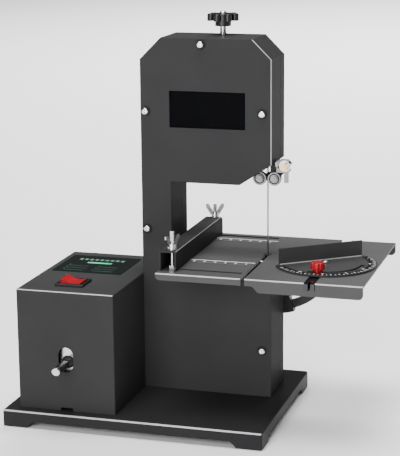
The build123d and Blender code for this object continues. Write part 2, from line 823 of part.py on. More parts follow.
with BuildPart() as table_top:
    slab((table_left, table_right), (table_front, table_back), (table_under, table_top_z))
    with BuildSketch(across(table_front + table_sheet)):
        with BuildLine():
            Polyline((table_left, table_top_z), (table_right, table_top_z),
                     (table_right, table_top_z - rail_depth),
                     (front_rail_step_x, table_top_z - rail_depth),
                     (front_rail_step_x - rail_corner, table_top_z - shallow_rail),
                     (table_left, table_top_z - shallow_rail), close=True)
        make_face()
        fillet(vertices().filter_by(lambda v: v.Y < table_under), rail_corner - 1)
    extrude(amount=table_sheet)
    with BuildSketch(across(table_back)):
        panel((table_left, table_right), (table_top_z - rail_depth, table_top_z))
        fillet(vertices().group_by(Axis.Y)[0], rail_corner - 1)
    extrude(amount=table_sheet)
    bend_edges = table_top.faces().sort_by(Axis.Z)[-1].edges().filter_by(Axis.X)
    fillet(bend_edges, 1.2)
    with BuildSketch(level(table_under)):
        for slot_y in fence_slots_y:
            with Locations(((fence_slot_left + fence_slot_right) / 2, slot_y)):
                SlotOverall(fence_slot_right - fence_slot_left, fence_slot_width)
        with Locations((blade_x, blade_y)):
            Circle(blade_hole_radius)
        panel(groove, (table_front + table_sheet, table_back - table_sheet))
    extrude(amount=table_sheet, mode=Mode.SUBTRACT)
    slab(blade_slit, (table_front - 1, blade_y),
         (table_under - shallow_rail, table_top_z + 1), mode=Mode.SUBTRACT)
    slab(groove, (table_front - 1, table_back + 1),
         (track_floor, table_top_z + 1), mode=Mode.SUBTRACT)
table_top.part.label = "table_top"
export_step(table_top.part, "parts/table_top.step")

track_wall = 2.0
track_base = 2.0
with BuildPart() as miter_track:
    with BuildSketch(across(table_back - table_sheet)):
        panel((groove[0] - track_wall, groove[1] + track_wall),
              (track_floor - track_base, table_under))
        panel(groove, (track_floor, table_under), mode=Mode.SUBTRACT)
    extrude(amount=table_depth - 2 * table_sheet)
miter_track.part.label = "miter_track"
export_step(miter_track.part, "parts/miter_track.step")

ruler_sheet = 0.15
ruler_length = 66.0
ruler_width = 12.0
ruler_left = blade_x - 2.5 - ruler_length
ruler_backs = (table_front + 57.5, table_front + 148.0)
with BuildPart() as table_rulers:
    for back in ruler_backs:
        slab((ruler_left, ruler_left + ruler_length), (back - ruler_width, back),
             (table_top_z, table_top_z + ruler_sheet))
table_rulers.part.label = "table_rulers"
export_step(table_rulers.part, "parts/table_rulers.step")

# ---------------------------------------------------------------- table tilt
# The half-moon is centred on the tilt axis: along Y, through the blade, in the
# table's working face. Its band runs between two curved shoes on the casing.
tilt_x = blade_x
tilt_z = table_top_z
moon_radius = 62.0
moon_band = 8.0
moon_thickness = 5.0
moon_bar = 12.0
moon_flange = 2.5
shoe_width = 6.0
shoe_plate = 2.5
shoe_half_angle = 18.0
moon_front = casing_back + shoe_plate + sliding_gap
moon_back = moon_front + moon_thickness
shoe_back = moon_back + sliding_gap
moon_bar_left = tilt_x - moon_radius + 1
moon_bar_right = groove[0] - track_wall - 0.5
moon_end_z = track_floor - track_base - 0.5
moon_screws_x = (tilt_x - 0.55 * moon_radius, tilt_x + 0.55 * moon_radius)
moon_screw_radius = 2.0

with BuildPart() as table_trunnion:
    with BuildSketch(across(moon_back)):
        with Locations((tilt_x, tilt_z)):
            Circle(moon_radius)
            Circle(moon_radius - moon_band, mode=Mode.SUBTRACT)
        panel((tilt_x - moon_radius - 1, tilt_x + moon_radius + 1),
              (moon_end_z, tilt_z + moon_radius + 1), mode=Mode.SUBTRACT)
        panel((moon_bar_left, moon_bar_right), (table_under - moon_bar, table_under))
    extrude(amount=moon_thickness)
    slab((moon_bar_left, moon_bar_right), (moon_back, moon_back + 12),
         (table_under - moon_flange, table_under))
    with BuildSketch(level(table_under - moon_bar)):
        with Locations(*[(x, moon_back + 6) for x in moon_screws_x]):
            Circle(moon_screw_radius)
    extrude(amount=moon_bar, mode=Mode.SUBTRACT)
table_trunnion.part.label = "table_trunnion"
export_step(table_trunnion.part, "parts/table_trunnion.step")

with BuildPart() as trunnion_screws:
    with BuildSketch(level(table_under - moon_flange)):
        with Locations(*[(x, moon_back + 6) for x in moon_screws_x]):
            Circle(moon_screw_radius)
    extrude(amount=moon_flange)
    with BuildSketch(level(table_under - moon_flange - 2.5)):
        with Locations(*[(x, moon_back + 6) for x in moon_screws_x]):
            Circle(3.5)
            RegularPolygon(1.6, 6, major_radius=False, mode=Mode.SUBTRACT)
    extrude(amount=2.5)
trunnion_screws.part.label = "trunnion_screws"
export_step(trunnion_screws.part, "parts/trunnion_screws.step")


def shoe_sector(inner, outer, half_angle):
    """Ring sector below the tilt axis, in the current sketch."""
    low, high = radians(-90 - half_angle), radians(-90 + half_angle)
    middle = radians(-90)
    corner = [[(r * cos(a), r * sin(a)) for a in (low, middle, high)] for r in (inner, outer)]
    with BuildLine(mode=Mode.PRIVATE) as route:
        ThreePointArc(*corner[0])
        Line(corner[0][2], corner[1][2])
        ThreePointArc(corner[1][2], corner[1][1], corner[1][0])
        Line(corner[1][0], corner[0][0])
    make_face(route.edges())


tilt_plane_back = Plane(origin=(tilt_x, shoe_back, tilt_z), x_dir=(1, 0, 0), z_dir=(0, -1, 0))
inner_shoe = moon_radius - moon_band - sliding_gap
outer_shoe = moon_radius + sliding_gap
clamp_stud_radius = 2.5
outer_lip = 2.5
clamp_stud_z = tilt_z - inner_shoe + shoe_width / 2
clamp_plate = 2.5
clamp_back = shoe_back + clamp_plate
stud_back = clamp_back + 16.0
with BuildPart() as trunnion_bracket:
    with BuildSketch(Plane(origin=(tilt_x, casing_back + shoe_plate, tilt_z),
                           x_dir=(1, 0, 0), z_dir=(0, -1, 0))):
        shoe_sector(inner_shoe - shoe_width, outer_shoe + outer_lip, shoe_half_angle)
    extrude(amount=shoe_plate)
    with BuildSketch(tilt_plane_back):
        shoe_sector(inner_shoe - shoe_width, inner_shoe, shoe_half_angle)
        shoe_sector(outer_shoe, outer_shoe + outer_lip, shoe_half_angle)
    extrude(amount=shoe_back - casing_back)
    slab((casing_right - 12, casing_right + 4), (casing_back, casing_back + shoe_plate),
         (clamp_stud_z - 3, lower_top))
    with BuildSketch(across(stud_back)):
        with Locations((tilt_x, clamp_stud_z)):
            Circle(clamp_stud_radius)
    extrude(amount=stud_back - shoe_back)
trunnion_bracket.part.label = "trunnion_bracket"
export_step(trunnion_bracket.part, "parts/trunnion_bracket.step")

with BuildPart() as trunnion_clamp:
    with BuildSketch(across(clamp_back)):
        panel((tilt_x - 7, tilt_x + 7),
              (tilt_z - outer_shoe - outer_lip, clamp_stud_z + 6))
        with Locations((tilt_x, clamp_stud_z)):
            Circle(clamp_stud_radius + fixing_gap, mode=Mode.SUBTRACT)
    extrude(amount=clamp_plate)
    fillet(trunnion_clamp.edges().filter_by(Axis.Y), 2)
trunnion_clamp.part.label = "trunnion_clamp"
export_step(trunnion_clamp.part, "parts/trunnion_clamp.step")

clamp_knob_radius = 11.0
with BuildPart() as tilt_clamp_knob:
    with BuildSketch(across(clamp_back + 6.1)):
        with Locations((tilt_x, clamp_stud_z)):
            Circle(6)
    extrude(amount=6)
    with BuildSketch(across(clamp_back + 14.1)):
        with Locations((tilt_x, clamp_stud_z)):
            Circle(clamp_knob_radius - 3)
            with PolarLocations(clamp_knob_radius - 2.6, 6):
                Circle(2.6)
    extrude(amount=8)
    fillet(tilt_clamp_knob.faces().sort_by(Axis.Y)[-1].edges(), 1)
    with BuildSketch(across(clamp_back + 15)):
        with Locations((tilt_x, clamp_stud_z)):
            Circle(clamp_stud_radius + running_gap)
    extrude(amount=15, mode=Mode.SUBTRACT)
tilt_clamp_knob.part.label = "tilt_clamp_knob"
export_step(tilt_clamp_knob.part, "parts/tilt_clamp_knob.step")

# ---------------------------------------------------------------- rip fence
fence_lift = 0.4
fence_left = table_left + 1.0
fence_right = fence_left + fence_width
fence_front = table_front + 9.5
fence_back = fence_front + fence_length
fence_low = table_top_z + fence_lift
fence_top = table_top_z + fence_height
fence_corner = 6.0
channel_back = fence_back - 7.0
bolt_x = fence_slot_left + fence_slot_width / 2
bolt_radius = 1.95
bolt_tops = (table_top_z + 35.5, table_top_z + 31.0)

with BuildPart() as fence_channel:
    with BuildSketch(along(fence_right)):
        with BuildLine():
            Polyline((fence_front, fence_low), (fence_back, fence_low), (fence_back, fence_top),
                     (fence_front, fence_top), close=True)
        make_face()
        fillet(vertices().group_by(Axis.X)[-1].sort_by(Axis.Y)[-1], fence_corner)
    extrude(amount=-fence_sheet)
    slab((fence_left, fence_right - fence_sheet), (fence_front, channel_back),
         (fence_top - fence_sheet, fence_top))
    slab((fence_left, fence_left + fence_sheet), (fence_front, channel_back),
         (fence_low, fence_top))
    fillet(fence_channel.edges().filter_by(Axis.Y).filter_by(
        lambda e: e.center().X < fence_left + 0.1 and e.center().Z > fence_top - 0.1), 1.2)
    with BuildSketch(level(fence_top - fence_sheet)):
        with Locations(*[(bolt_x, y) for y in fence_slots_y]):
            Circle(bolt_radius + fixing_gap)
    extrude(amount=fence_sheet, mode=Mode.SUBTRACT)
fence_channel.part.label = "fence_channel"
export_step(fence_channel.part, "parts/fence_channel.step")

bolt_head_radius = 4.2
bolt_head_height = 2.6
nut_width = 7.0
nut_thickness = 3.2
with BuildPart() as fence_bolts:
    for slot_y, top in zip(fence_slots_y, bolt_tops):
        with BuildSketch(level(table_under - fence_lift - bolt_head_height)):
            with Locations((bolt_x, slot_y)):
                Circle(bolt_head_radius)
        extrude(amount=bolt_head_height)
        with BuildSketch(level(table_under - fence_lift)):
            with Locations((bolt_x, slot_y)):
                Circle(bolt_radius)
        extrude(amount=top - table_under + fence_lift)
    with BuildSketch(level(fence_low)):
        with Locations(*[(bolt_x, y) for y in fence_slots_y]):
            RegularPolygon(nut_width / 2, 6, major_radius=False)
    extrude(amount=nut_thickness)
fence_bolts.part.label = "fence_bolts"
export_step(fence_bolts.part, "parts/fence_bolts.step")

# Wing nuts: a tapered hub with two wings that lean outwards.
wing_hub_radius = 4.2
wing_hub_height = 5.0
wing_height = 13.0
wing_reach = 9.0
wing_sheet = 1.6
wing_low = fence_top + 0.1
wing_turns = {"wing_nut_front": (fence_slots_y[0], 65.0), "wing_nut_back": (fence_slots_y[1], 20.0)}
for name, (nut_y, turn) in wing_turns.items():
    wing_plane = Plane(origin=(bolt_x, nut_y, wing_low),
                       x_dir=(cos(radians(turn)), sin(radians(turn)), 0), z_dir=(0, 0, 1))
    upright = Plane(origin=wing_plane.origin, x_dir=wing_plane.x_dir,
                    z_dir=wing_plane.y_dir)
    with BuildPart() as wing_nut:
        with BuildSketch(wing_plane):
            Circle(wing_hub_radius)
        extrude(amount=wing_hub_height, taper=6)
        with BuildSketch(upright.offset(-wing_sheet / 2)):
            for side in (-1, 1):
                with BuildLine():
                    Polyline((side * 1.5, -1.2), (side * wing_hub_radius, -2.5),
                             (side * wing_reach, -wing_height + 3), (side * wing_reach, -wing_height),
                             (side * (wing_reach - 3), -wing_height), (side * 1.5, -wing_hub_height),
                             close=True)
                make_face()
        extrude(amount=wing_sheet)
        with BuildSketch(wing_plane.offset(-1)):
            Circle(bolt_radius + running_gap)
        extrude(amount=wing_height + 4, mode=Mode.SUBTRACT)
    wing_nut.part.label = name
    export_step(wing_nut.part, f"parts/{name}.step")


# ---------------------------------------------------------------- miter gauge
bar_length = 108.0
bar_front = table_front - 1.0
bar_top = table_top_z - 0.7
bar_bottom = track_floor + 0.3
bar_half = groove_width / 2 - bar_gap
pivot_y = table_front + 69.5
miter_turn = 38.0
miter_lift = 0.3
miter_sheet = 1.5
miter_radius = 47.0
miter_plate_back = 11.5
miter_plate_length = 85.0
miter_plate_height = 16.5
arc_slot_radius = 35.0
arc_slot_half_angle = 50.0
arc_slot_width = 4.6
miter_stud_radius = 2.0
pivot_radius = 2.5
miter_low = table_top_z + miter_lift
miter_top = miter_low + miter_sheet
knob_stud_y = pivot_y - arc_slot_radius
stud_length = 11.0

with BuildPart() as miter_bar:
    slab((groove_x - bar_half, groove_x + bar_half), (bar_front, bar_front + bar_length),
         (bar_bottom, bar_top))
    chamfer(miter_bar.edges().filter_by(Axis.Y).group_by(Axis.Z)[-1], 0.5)
    slab((groove_x - 1.2, groove_x + 1.2), (bar_front - 1, bar_front + 12),
         (bar_bottom - 1, bar_top + 1), mode=Mode.SUBTRACT)
    with BuildSketch(level(bar_bottom)):
        with Locations((groove_x, pivot_y)):
            Circle(miter_stud_radius)
    extrude(amount=bar_height + 2, mode=Mode.SUBTRACT)
    with BuildSketch(level(bar_bottom)):
        with Locations((groove_x, knob_stud_y)):
            Circle(miter_stud_radius)
    extrude(amount=stud_length)
miter_bar.part.label = "miter_bar"
export_step(miter_bar.part, "parts/miter_bar.step")

miter_origin = (groove_x, pivot_y)
miter_x = (cos(radians(miter_turn)), sin(radians(miter_turn)), 0)


def miter_plane(z):
    """Level plane at the pivot, turned with the gauge's head."""
    return Plane(origin=(groove_x, pivot_y, z), x_dir=miter_x, z_dir=(0, 0, 1))


arc_slot_path = CenterArc((0, 0), arc_slot_radius, -90 - arc_slot_half_angle,
                          2 * arc_slot_half_angle)
with BuildPart() as miter_head:
    with BuildSketch(miter_plane(miter_low)):
        Circle(miter_radius)
        with Locations((0, miter_plate_back + miter_radius)):
            Rectangle(3 * miter_radius, 2 * miter_radius, mode=Mode.SUBTRACT)
        Circle(pivot_radius + running_gap, mode=Mode.SUBTRACT)
        SlotArc(arc_slot_path, arc_slot_width, mode=Mode.SUBTRACT)
    extrude(amount=miter_sheet)
    with BuildSketch(miter_plane(miter_low)):
        with Locations((0, miter_plate_back - miter_sheet / 2)):
            Rectangle(miter_plate_length, miter_sheet)
    extrude(amount=miter_plate_height)
miter_head.part.label = "miter_head"
export_step(miter_head.part, "parts/miter_head.step")

pivot_head_radius = 4.0
with BuildPart() as miter_pivot_screw:
    with BuildSketch(level(bar_bottom + 1)):
        with Locations(miter_origin):
            Circle(miter_stud_radius)
    extrude(amount=bar_top - bar_bottom - 1)
    with BuildSketch(level(bar_top)):
        with Locations(miter_origin):
            Circle(pivot_radius)
    extrude(amount=miter_top - bar_top + 0.2)
    with BuildSketch(level(miter_top + 0.2)):
        with Locations(miter_origin):
            Circle(pivot_head_radius)
    extrude(amount=2.0)
    fillet(miter_pivot_screw.faces().sort_by(Axis.Z)[-1].edges(), 0.8)
    with BuildSketch(level(miter_top + 1.2)):
        with Locations(miter_origin):
            Rectangle(5, 0.9)
            Rectangle(0.9, 5)
    extrude(amount=2, mode=Mode.SUBTRACT)
miter_pivot_screw.part.label = "miter_pivot_screw"
export_step(miter_pivot_screw.part, "parts/miter_pivot_screw.step")

miter_knob_radius = 6.5
miter_knob_low = miter_top + 0.3
miter_knob_top = table_top_z + 11.0
miter_knob_head = 6.2
knob_flutes = 6
with BuildPart() as miter_knob:
    with BuildSketch(level(miter_knob_top - miter_knob_head)):
        with Locations((groove_x, knob_stud_y)):
            Circle(miter_knob_radius)
            with PolarLocations(miter_knob_radius + 0.6, knob_flutes):
                Circle(1.5, mode=Mode.SUBTRACT)
    extrude(amount=miter_knob_head)
    fillet(miter_knob.faces().sort_by(Axis.Z)[-1].edges(), 0.8)
    with BuildSketch(level(miter_knob_low)):
        with Locations((groove_x, knob_stud_y)):
            Circle(4.4)
    extrude(amount=miter_knob_top - miter_knob_low - 1)
    with BuildSketch(level(miter_knob_low)):
        with Locations((groove_x, knob_stud_y)):
            Circle(miter_stud_radius + running_gap)
    extrude(amount=miter_knob_top - miter_knob_low - 2, mode=Mode.SUBTRACT)
miter_knob.part.label = "miter_knob"
export_step(miter_knob.part, "parts/miter_knob.step")

# ---------------------------------------------------------------- motor and its box
box_left = base_left + box_inset_x
box_right = casing_left
box_front = base_front + box_inset_y
box_back = box_front + box_depth
box_top = base_top + box_height
motor_slot_width = 14.3
motor_slot_height = 24.0
motor_slot_z = base_top + 49.5
switch_x = base_left + 57.5
switch_y = base_front + 43.0
switch_hole = (23.0, 21.0)
cable_notch = 12.0

panel_fit = 0.2
panel_front = box_back - box_sheet - 0.5
inlet_x = box_left + 22.0
inlet_z = base_top + 26.0
inlet_body_radius = 5.5
box_screw_places = [(box_left + 7.5, box_top - 8.0), (box_right - 7.5, box_top - 8.0),
                    (box_left + 7.5, base_top + 8.0), (box_right - 7.5, base_top + 8.0)]
box_screw_radius = 1.5
tab_size = 12.0

with BuildPart() as box_shell:
    slab((box_left, box_right), (box_front, box_back), (base_top, box_top))
    fillet(box_shell.faces().sort_by(Axis.Z)[-1].edges().filter_by(Axis.Y), 1.2)
    fillet(box_shell.faces().sort_by(Axis.Y)[0].edges().group_by(Axis.Z)[1:], 1.0)
    offset(amount=-box_sheet, openings=[box_shell.faces().sort_by(Axis.Z)[0],
                                        box_shell.faces().sort_by(Axis.Y)[-1]])
    with BuildSketch(across(box_front + box_sheet + 1)):
        round_slot((motor_x, motor_slot_z), motor_slot_height, motor_slot_width, 90)
        panel((motor_x - cable_notch / 2, motor_x + cable_notch / 2), (base_top, base_top + 3))
    extrude(amount=box_sheet + 2, mode=Mode.SUBTRACT)
    with BuildSketch(level(box_top - box_sheet)):
        with Locations((switch_x, switch_y)):
            Rectangle(*switch_hole)
    extrude(amount=box_sheet, mode=Mode.SUBTRACT)
    slab((box_right - 2 * box_sheet, box_right + 1), (belt_slot_front, seam),
         (belt_slot_low, belt_slot_high), mode=Mode.SUBTRACT)
    for x, z in box_screw_places:
        wall_side = -1 if x < motor_x else 1
        wall_face = box_left + box_sheet if wall_side < 0 else box_right - box_sheet
        tip = wall_face - wall_side * tab_size
        slab(sorted((wall_face, tip)), (panel_front - box_sheet, panel_front), (z - 5, z + 5))
    with BuildSketch(across(panel_front)):
        with Locations(*box_screw_places):
            Circle(box_screw_radius)
    extrude(amount=box_sheet, mode=Mode.SUBTRACT)
box_shell.part.label = "box_shell"
export_step(box_shell.part, "parts/box_shell.step")

with BuildPart() as box_back_panel:
    with BuildSketch(across(panel_front + box_sheet)):
        panel((box_left + box_sheet + panel_fit, box_right - box_sheet - panel_fit),
              (base_top, box_top - box_sheet - panel_fit))
        with Locations((inlet_x, inlet_z)):
            Circle(inlet_body_radius, mode=Mode.SUBTRACT)
        with Locations(*box_screw_places):
            Circle(box_screw_radius, mode=Mode.SUBTRACT)
        for row in range(5):
            round_slot((motor_x + 8, base_top + 62 + 7 * row), 34, 3, mode=Mode.SUBTRACT)
    extrude(amount=box_sheet)
box_back_panel.part.label = "box_back_panel"
export_step(box_back_panel.part, "parts/box_back_panel.step")

with BuildPart() as power_inlet:
    with BuildSketch(across(panel_front + box_sheet)):
        with Locations((inlet_x, inlet_z)):
            Circle(inlet_body_radius)
    extrude(amount=14)
    with BuildSketch(across(panel_front + box_sheet + 2)):
        with Locations((inlet_x, inlet_z)):
            Circle(inlet_body_radius + 2)
    extrude(amount=2)
    with BuildSketch(across(panel_front + box_sheet + 2)):
        with Locations((inlet_x, inlet_z)):
            Circle(2.8)
            Circle(1.0, mode=Mode.SUBTRACT)
    extrude(amount=10, mode=Mode.SUBTRACT)
power_inlet.part.label = "power_inlet"
export_step(power_inlet.part, "parts/power_inlet.step")

label_sheet = 0.4
with BuildPart() as label_plate:
    slab((base_left + 19.5, base_left + 90.0), (base_front + 83.0, base_front + 146.0),
         (box_top, box_top + label_sheet))
    fillet(label_plate.edges().filter_by(Axis.Z), 2)
label_plate.part.label = "label_plate"
export_step(label_plate.part, "parts/label_plate.step")

# Rocker switch: the bezel rests on the box and the rocker turns about Y.
bezel_size = (28.0, 26.0)
bezel_height = 2.2
bezel_body_depth = 16.0
rocker_well = (21.2, 18.4)
rocker_half = 9.6
rocker_tilt = 11.0
rocker_pivot_z = box_top + 1.4
well_floor = box_top - 5.5
rocker_pin_radius = 0.7
with BuildPart() as switch_bezel:
    with BuildSketch(level(box_top)):
        with Locations((switch_x, switch_y)):
            Rectangle(*bezel_size)
    extrude(amount=bezel_height)
    fillet(switch_bezel.edges().filter_by(Axis.Z), 1.5)
    chamfer(switch_bezel.faces().sort_by(Axis.Z)[-1].edges(), 0.7)
    with BuildSketch(level(box_top - bezel_body_depth)):
        with Locations((switch_x, switch_y)):
            Rectangle(switch_hole[0] - 0.2, switch_hole[1] - 0.2)
    extrude(amount=bezel_body_depth)
    with BuildSketch(level(well_floor)):
        with Locations((switch_x, switch_y)):
            Rectangle(*rocker_well)
    extrude(amount=bezel_height + box_top - well_floor, mode=Mode.SUBTRACT)
    with BuildSketch(across(switch_y + rocker_well[1] / 2 + 0.5)):
        with Locations((switch_x, rocker_pivot_z)):
            Circle(rocker_pin_radius)
    extrude(amount=rocker_well[1] + 1)
    for offset_x in (-6, 0, 6):
        slab((switch_x + offset_x - 0.4, switch_x + offset_x + 0.4),
             (switch_y - 2.4, switch_y + 2.4),
             (box_top - bezel_body_depth - 7, box_top - bezel_body_depth))
switch_bezel.part.label = "switch_bezel"
export_step(switch_bezel.part, "parts/switch_bezel.step")

rocker_depth = rocker_well[1] - 2 * sliding_gap
rocker_plane = Plane(origin=(switch_x, switch_y + rocker_depth / 2, rocker_pivot_z),
                     x_dir=(cos(radians(rocker_tilt)), 0, -sin(radians(rocker_tilt))),
                     z_dir=(0, -1, 0))
with BuildPart() as switch_rocker:
    with BuildSketch(rocker_plane):
        with BuildLine():
            Polyline((-6, -4.2), (6, -4.2), (rocker_half, -1.6), (rocker_half, 3.4))
            ThreePointArc((rocker_half, 3.4), (0, 1.3), (-rocker_half, 3.4))
            Polyline((-rocker_half, 3.4), (-rocker_half, -1.6), (-6, -4.2))
        make_face()
        Circle(rocker_pin_radius + 0.1, mode=Mode.SUBTRACT)
    extrude(amount=rocker_depth)
    fillet(switch_rocker.edges().filter_by(Axis.Y).group_by(Axis.Z)[-1], 0.5)
switch_rocker.part.label = "switch_rocker"
export_step(switch_rocker.part, "parts/switch_rocker.step")

# Motor with a shaft at both ends: the spindle in front and the belt pulley behind.
motor_radius = 21.0
motor_length = 66.0
motor_front = base_front + 21.0
motor_back = motor_front + motor_length
shaft_radius = 2.5
spindle_front = base_front - spindle_reach
sleeve_radius = 4.0
collar_length = 3.0
sleeve_back = box_front - 3.5
with BuildPart() as motor_can:
    with BuildSketch(across(motor_back)):
        with Locations((motor_x, motor_z)):
            Circle(motor_radius)
    extrude(amount=motor_length)
    fillet(motor_can.edges().filter_by(GeomType.CIRCLE), 1.5)
    for front in (motor_front, motor_back + 2.5):
        with BuildSketch(across(front)):
            with Locations((motor_x, motor_z)):
                Circle(8.0)
        extrude(amount=2.5)
    with BuildSketch(across(motor_back + 3)):
        with Locations((motor_x, motor_z)):
            Circle(shaft_radius + running_gap)
    extrude(amount=motor_length + 6, mode=Mode.SUBTRACT)
motor_can.part.label = "motor_can"
export_step(motor_can.part, "parts/motor_can.step")

with BuildPart() as motor_shaft:
    with BuildSketch(across(pulley_back)):
        with Locations((motor_x, motor_z)):
            Circle(shaft_radius)
    extrude(amount=pulley_back - spindle_front - 1)
    with BuildSketch(across(spindle_front + collar_length)):
        with Locations((motor_x, motor_z)):
            Circle(sleeve_radius - 0.1)
    extrude(amount=collar_length)
    chamfer(motor_shaft.faces().sort_by(Axis.Y)[0].edges(), 0.6)
motor_shaft.part.label = "motor_shaft"
export_step(motor_shaft.part, "parts/motor_shaft.step")

motor_pulley = pulley(motor_x, motor_z, motor_pulley_radius, shaft_radius)
motor_pulley.part.label = "motor_pulley"
export_step(motor_pulley.part, "parts/motor_pulley.step")

with BuildPart() as spindle_sleeve:
    with BuildSketch(across(sleeve_back)):
        with Locations((motor_x, motor_z)):
            Circle(sleeve_radius)
            Circle(shaft_radius, mode=Mode.SUBTRACT)
    extrude(amount=sleeve_back - spindle_front - collar_length)
spindle_sleeve.part.label = "spindle_sleeve"
export_step(spindle_sleeve.part, "parts/spindle_sleeve.step")

mount_sheet = 3.0
mount_half = 25.0
mount_foot = 20.0
motor_screw_circle = 14.0
motor_screw_radius = 1.5
motor_screw_places = [(motor_x - motor_screw_circle, motor_z),
                      (motor_x + motor_screw_circle, motor_z)]
with BuildPart() as motor_bracket:
    with BuildSketch(across(motor_back + mount_sheet)):
        panel((motor_x - mount_half, motor_x + mount_half),
              (base_top, motor_z + motor_radius + 2))
        with Locations((motor_x, motor_z)):
            Circle(8.0 + fixing_gap, mode=Mode.SUBTRACT)
        with Locations(*motor_screw_places):
            Circle(motor_screw_radius, mode=Mode.SUBTRACT)
    extrude(amount=mount_sheet)
    slab((motor_x - mount_half, motor_x + mount_half),
         (motor_back + mount_sheet - mount_foot, motor_back + mount_sheet),
         (base_top, base_top + mount_sheet))
motor_bracket.part.label = "motor_bracket"
export_step(motor_bracket.part, "parts/motor_bracket.step")

small_head_radius = 2.8
small_head_height = 1.8
with BuildPart() as small_screws:
    seats = ((panel_front + box_sheet, box_screw_places, 6.0),
             (motor_back + mount_sheet, motor_screw_places, mount_sheet))
    for seat, places, length in seats:
        with BuildSketch(across(seat)):
            with Locations(*places):
                Circle(box_screw_radius)
        extrude(amount=length)
        with BuildSketch(across(seat + small_head_height)):
            with Locations(*places):
                Circle(small_head_radius)
        extrude(amount=small_head_height)
        with BuildSketch(across(seat + small_head_height)):
            with Locations(*places):
                Rectangle(3.4, 0.8)
                Rectangle(0.8, 3.4)
        extrude(amount=0.8, mode=Mode.SUBTRACT)
small_screws.part.label = "small_screws"
export_step(small_screws.part, "parts/small_screws.step")

board_x = box_left + box_sheet + 4.0
board_front = base_front + 98.0
board_low = base_top + 36.0
board_size = (46.0, 44.0)
board_sheet = 1.6
with BuildPart() as control_board:
    slab((board_x, board_x + board_sheet), (board_front, board_front + board_size[0]),
         (board_low, board_low + board_size[1]))
    with BuildSketch(along(board_x + board_sheet)):
        with Locations((board_front + 10, board_low + 12), (board_front + 10, board_low + 30)):
            Circle(4.5)
        with Locations((board_front + 28, board_low + 20)):
            Rectangle(12, 16)
    extrude(amount=9)
    with BuildSketch(along(box_left + box_sheet)):
        with Locations((board_front + board_size[0] / 2, board_low + board_size[1] / 2)):
            with GridLocations(board_size[0] - 8, board_size[1] - 8, 2, 2):
                Circle(2.5)
    extrude(amount=board_x - box_left - box_sheet)
control_board.part.label = "control_board"
export_step(control_board.part, "parts/control_board.step")
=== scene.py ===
"""Small desktop band saw: finishes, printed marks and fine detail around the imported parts."""

import json
import logging
from collections.abc import Sequence
from dataclasses import dataclass, field
from enum import Enum
from math import cos, pi, radians, sin

import bmesh
import bpy
from mathutils import Matrix, Vector


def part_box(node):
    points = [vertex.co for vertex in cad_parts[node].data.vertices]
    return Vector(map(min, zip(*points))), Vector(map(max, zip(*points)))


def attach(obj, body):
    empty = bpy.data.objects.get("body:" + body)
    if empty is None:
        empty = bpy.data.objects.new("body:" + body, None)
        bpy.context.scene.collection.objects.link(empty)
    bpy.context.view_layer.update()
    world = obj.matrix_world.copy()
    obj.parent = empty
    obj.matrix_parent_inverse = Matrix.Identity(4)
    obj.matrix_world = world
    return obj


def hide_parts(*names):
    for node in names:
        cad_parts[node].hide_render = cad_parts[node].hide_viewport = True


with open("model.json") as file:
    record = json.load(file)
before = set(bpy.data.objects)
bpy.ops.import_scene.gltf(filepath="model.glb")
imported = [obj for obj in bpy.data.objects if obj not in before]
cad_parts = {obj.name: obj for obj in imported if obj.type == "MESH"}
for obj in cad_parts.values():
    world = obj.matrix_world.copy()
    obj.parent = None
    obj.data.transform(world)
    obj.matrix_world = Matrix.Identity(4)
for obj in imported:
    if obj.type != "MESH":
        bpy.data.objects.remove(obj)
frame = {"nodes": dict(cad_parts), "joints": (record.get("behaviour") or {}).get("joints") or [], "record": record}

log = logging.getLogger("band_saw")
MM = 0.001
COAT_ROUGHNESS = 0.12
GRAIN_DETAIL = 2.0
PATCH_SCALE = 22.0
PATCH_DETAIL = 4.0
TONE_ENDS = (0.3, 0.7)
ROUGHNESS_SPAN = 0.07
LEAST_ROUGHNESS = 0.03
BUMP_STRENGTH = 0.6
TYPE_DEPTH = 0.03 * MM
TYPE_GROWTH = 0.025


class Grain(Enum):
    """How the fine surface pattern of a finish runs."""

    POWDER = "powder"
    BRUSHED = "brushed"
    TURNED = "turned"
    MOULDED = "moulded"


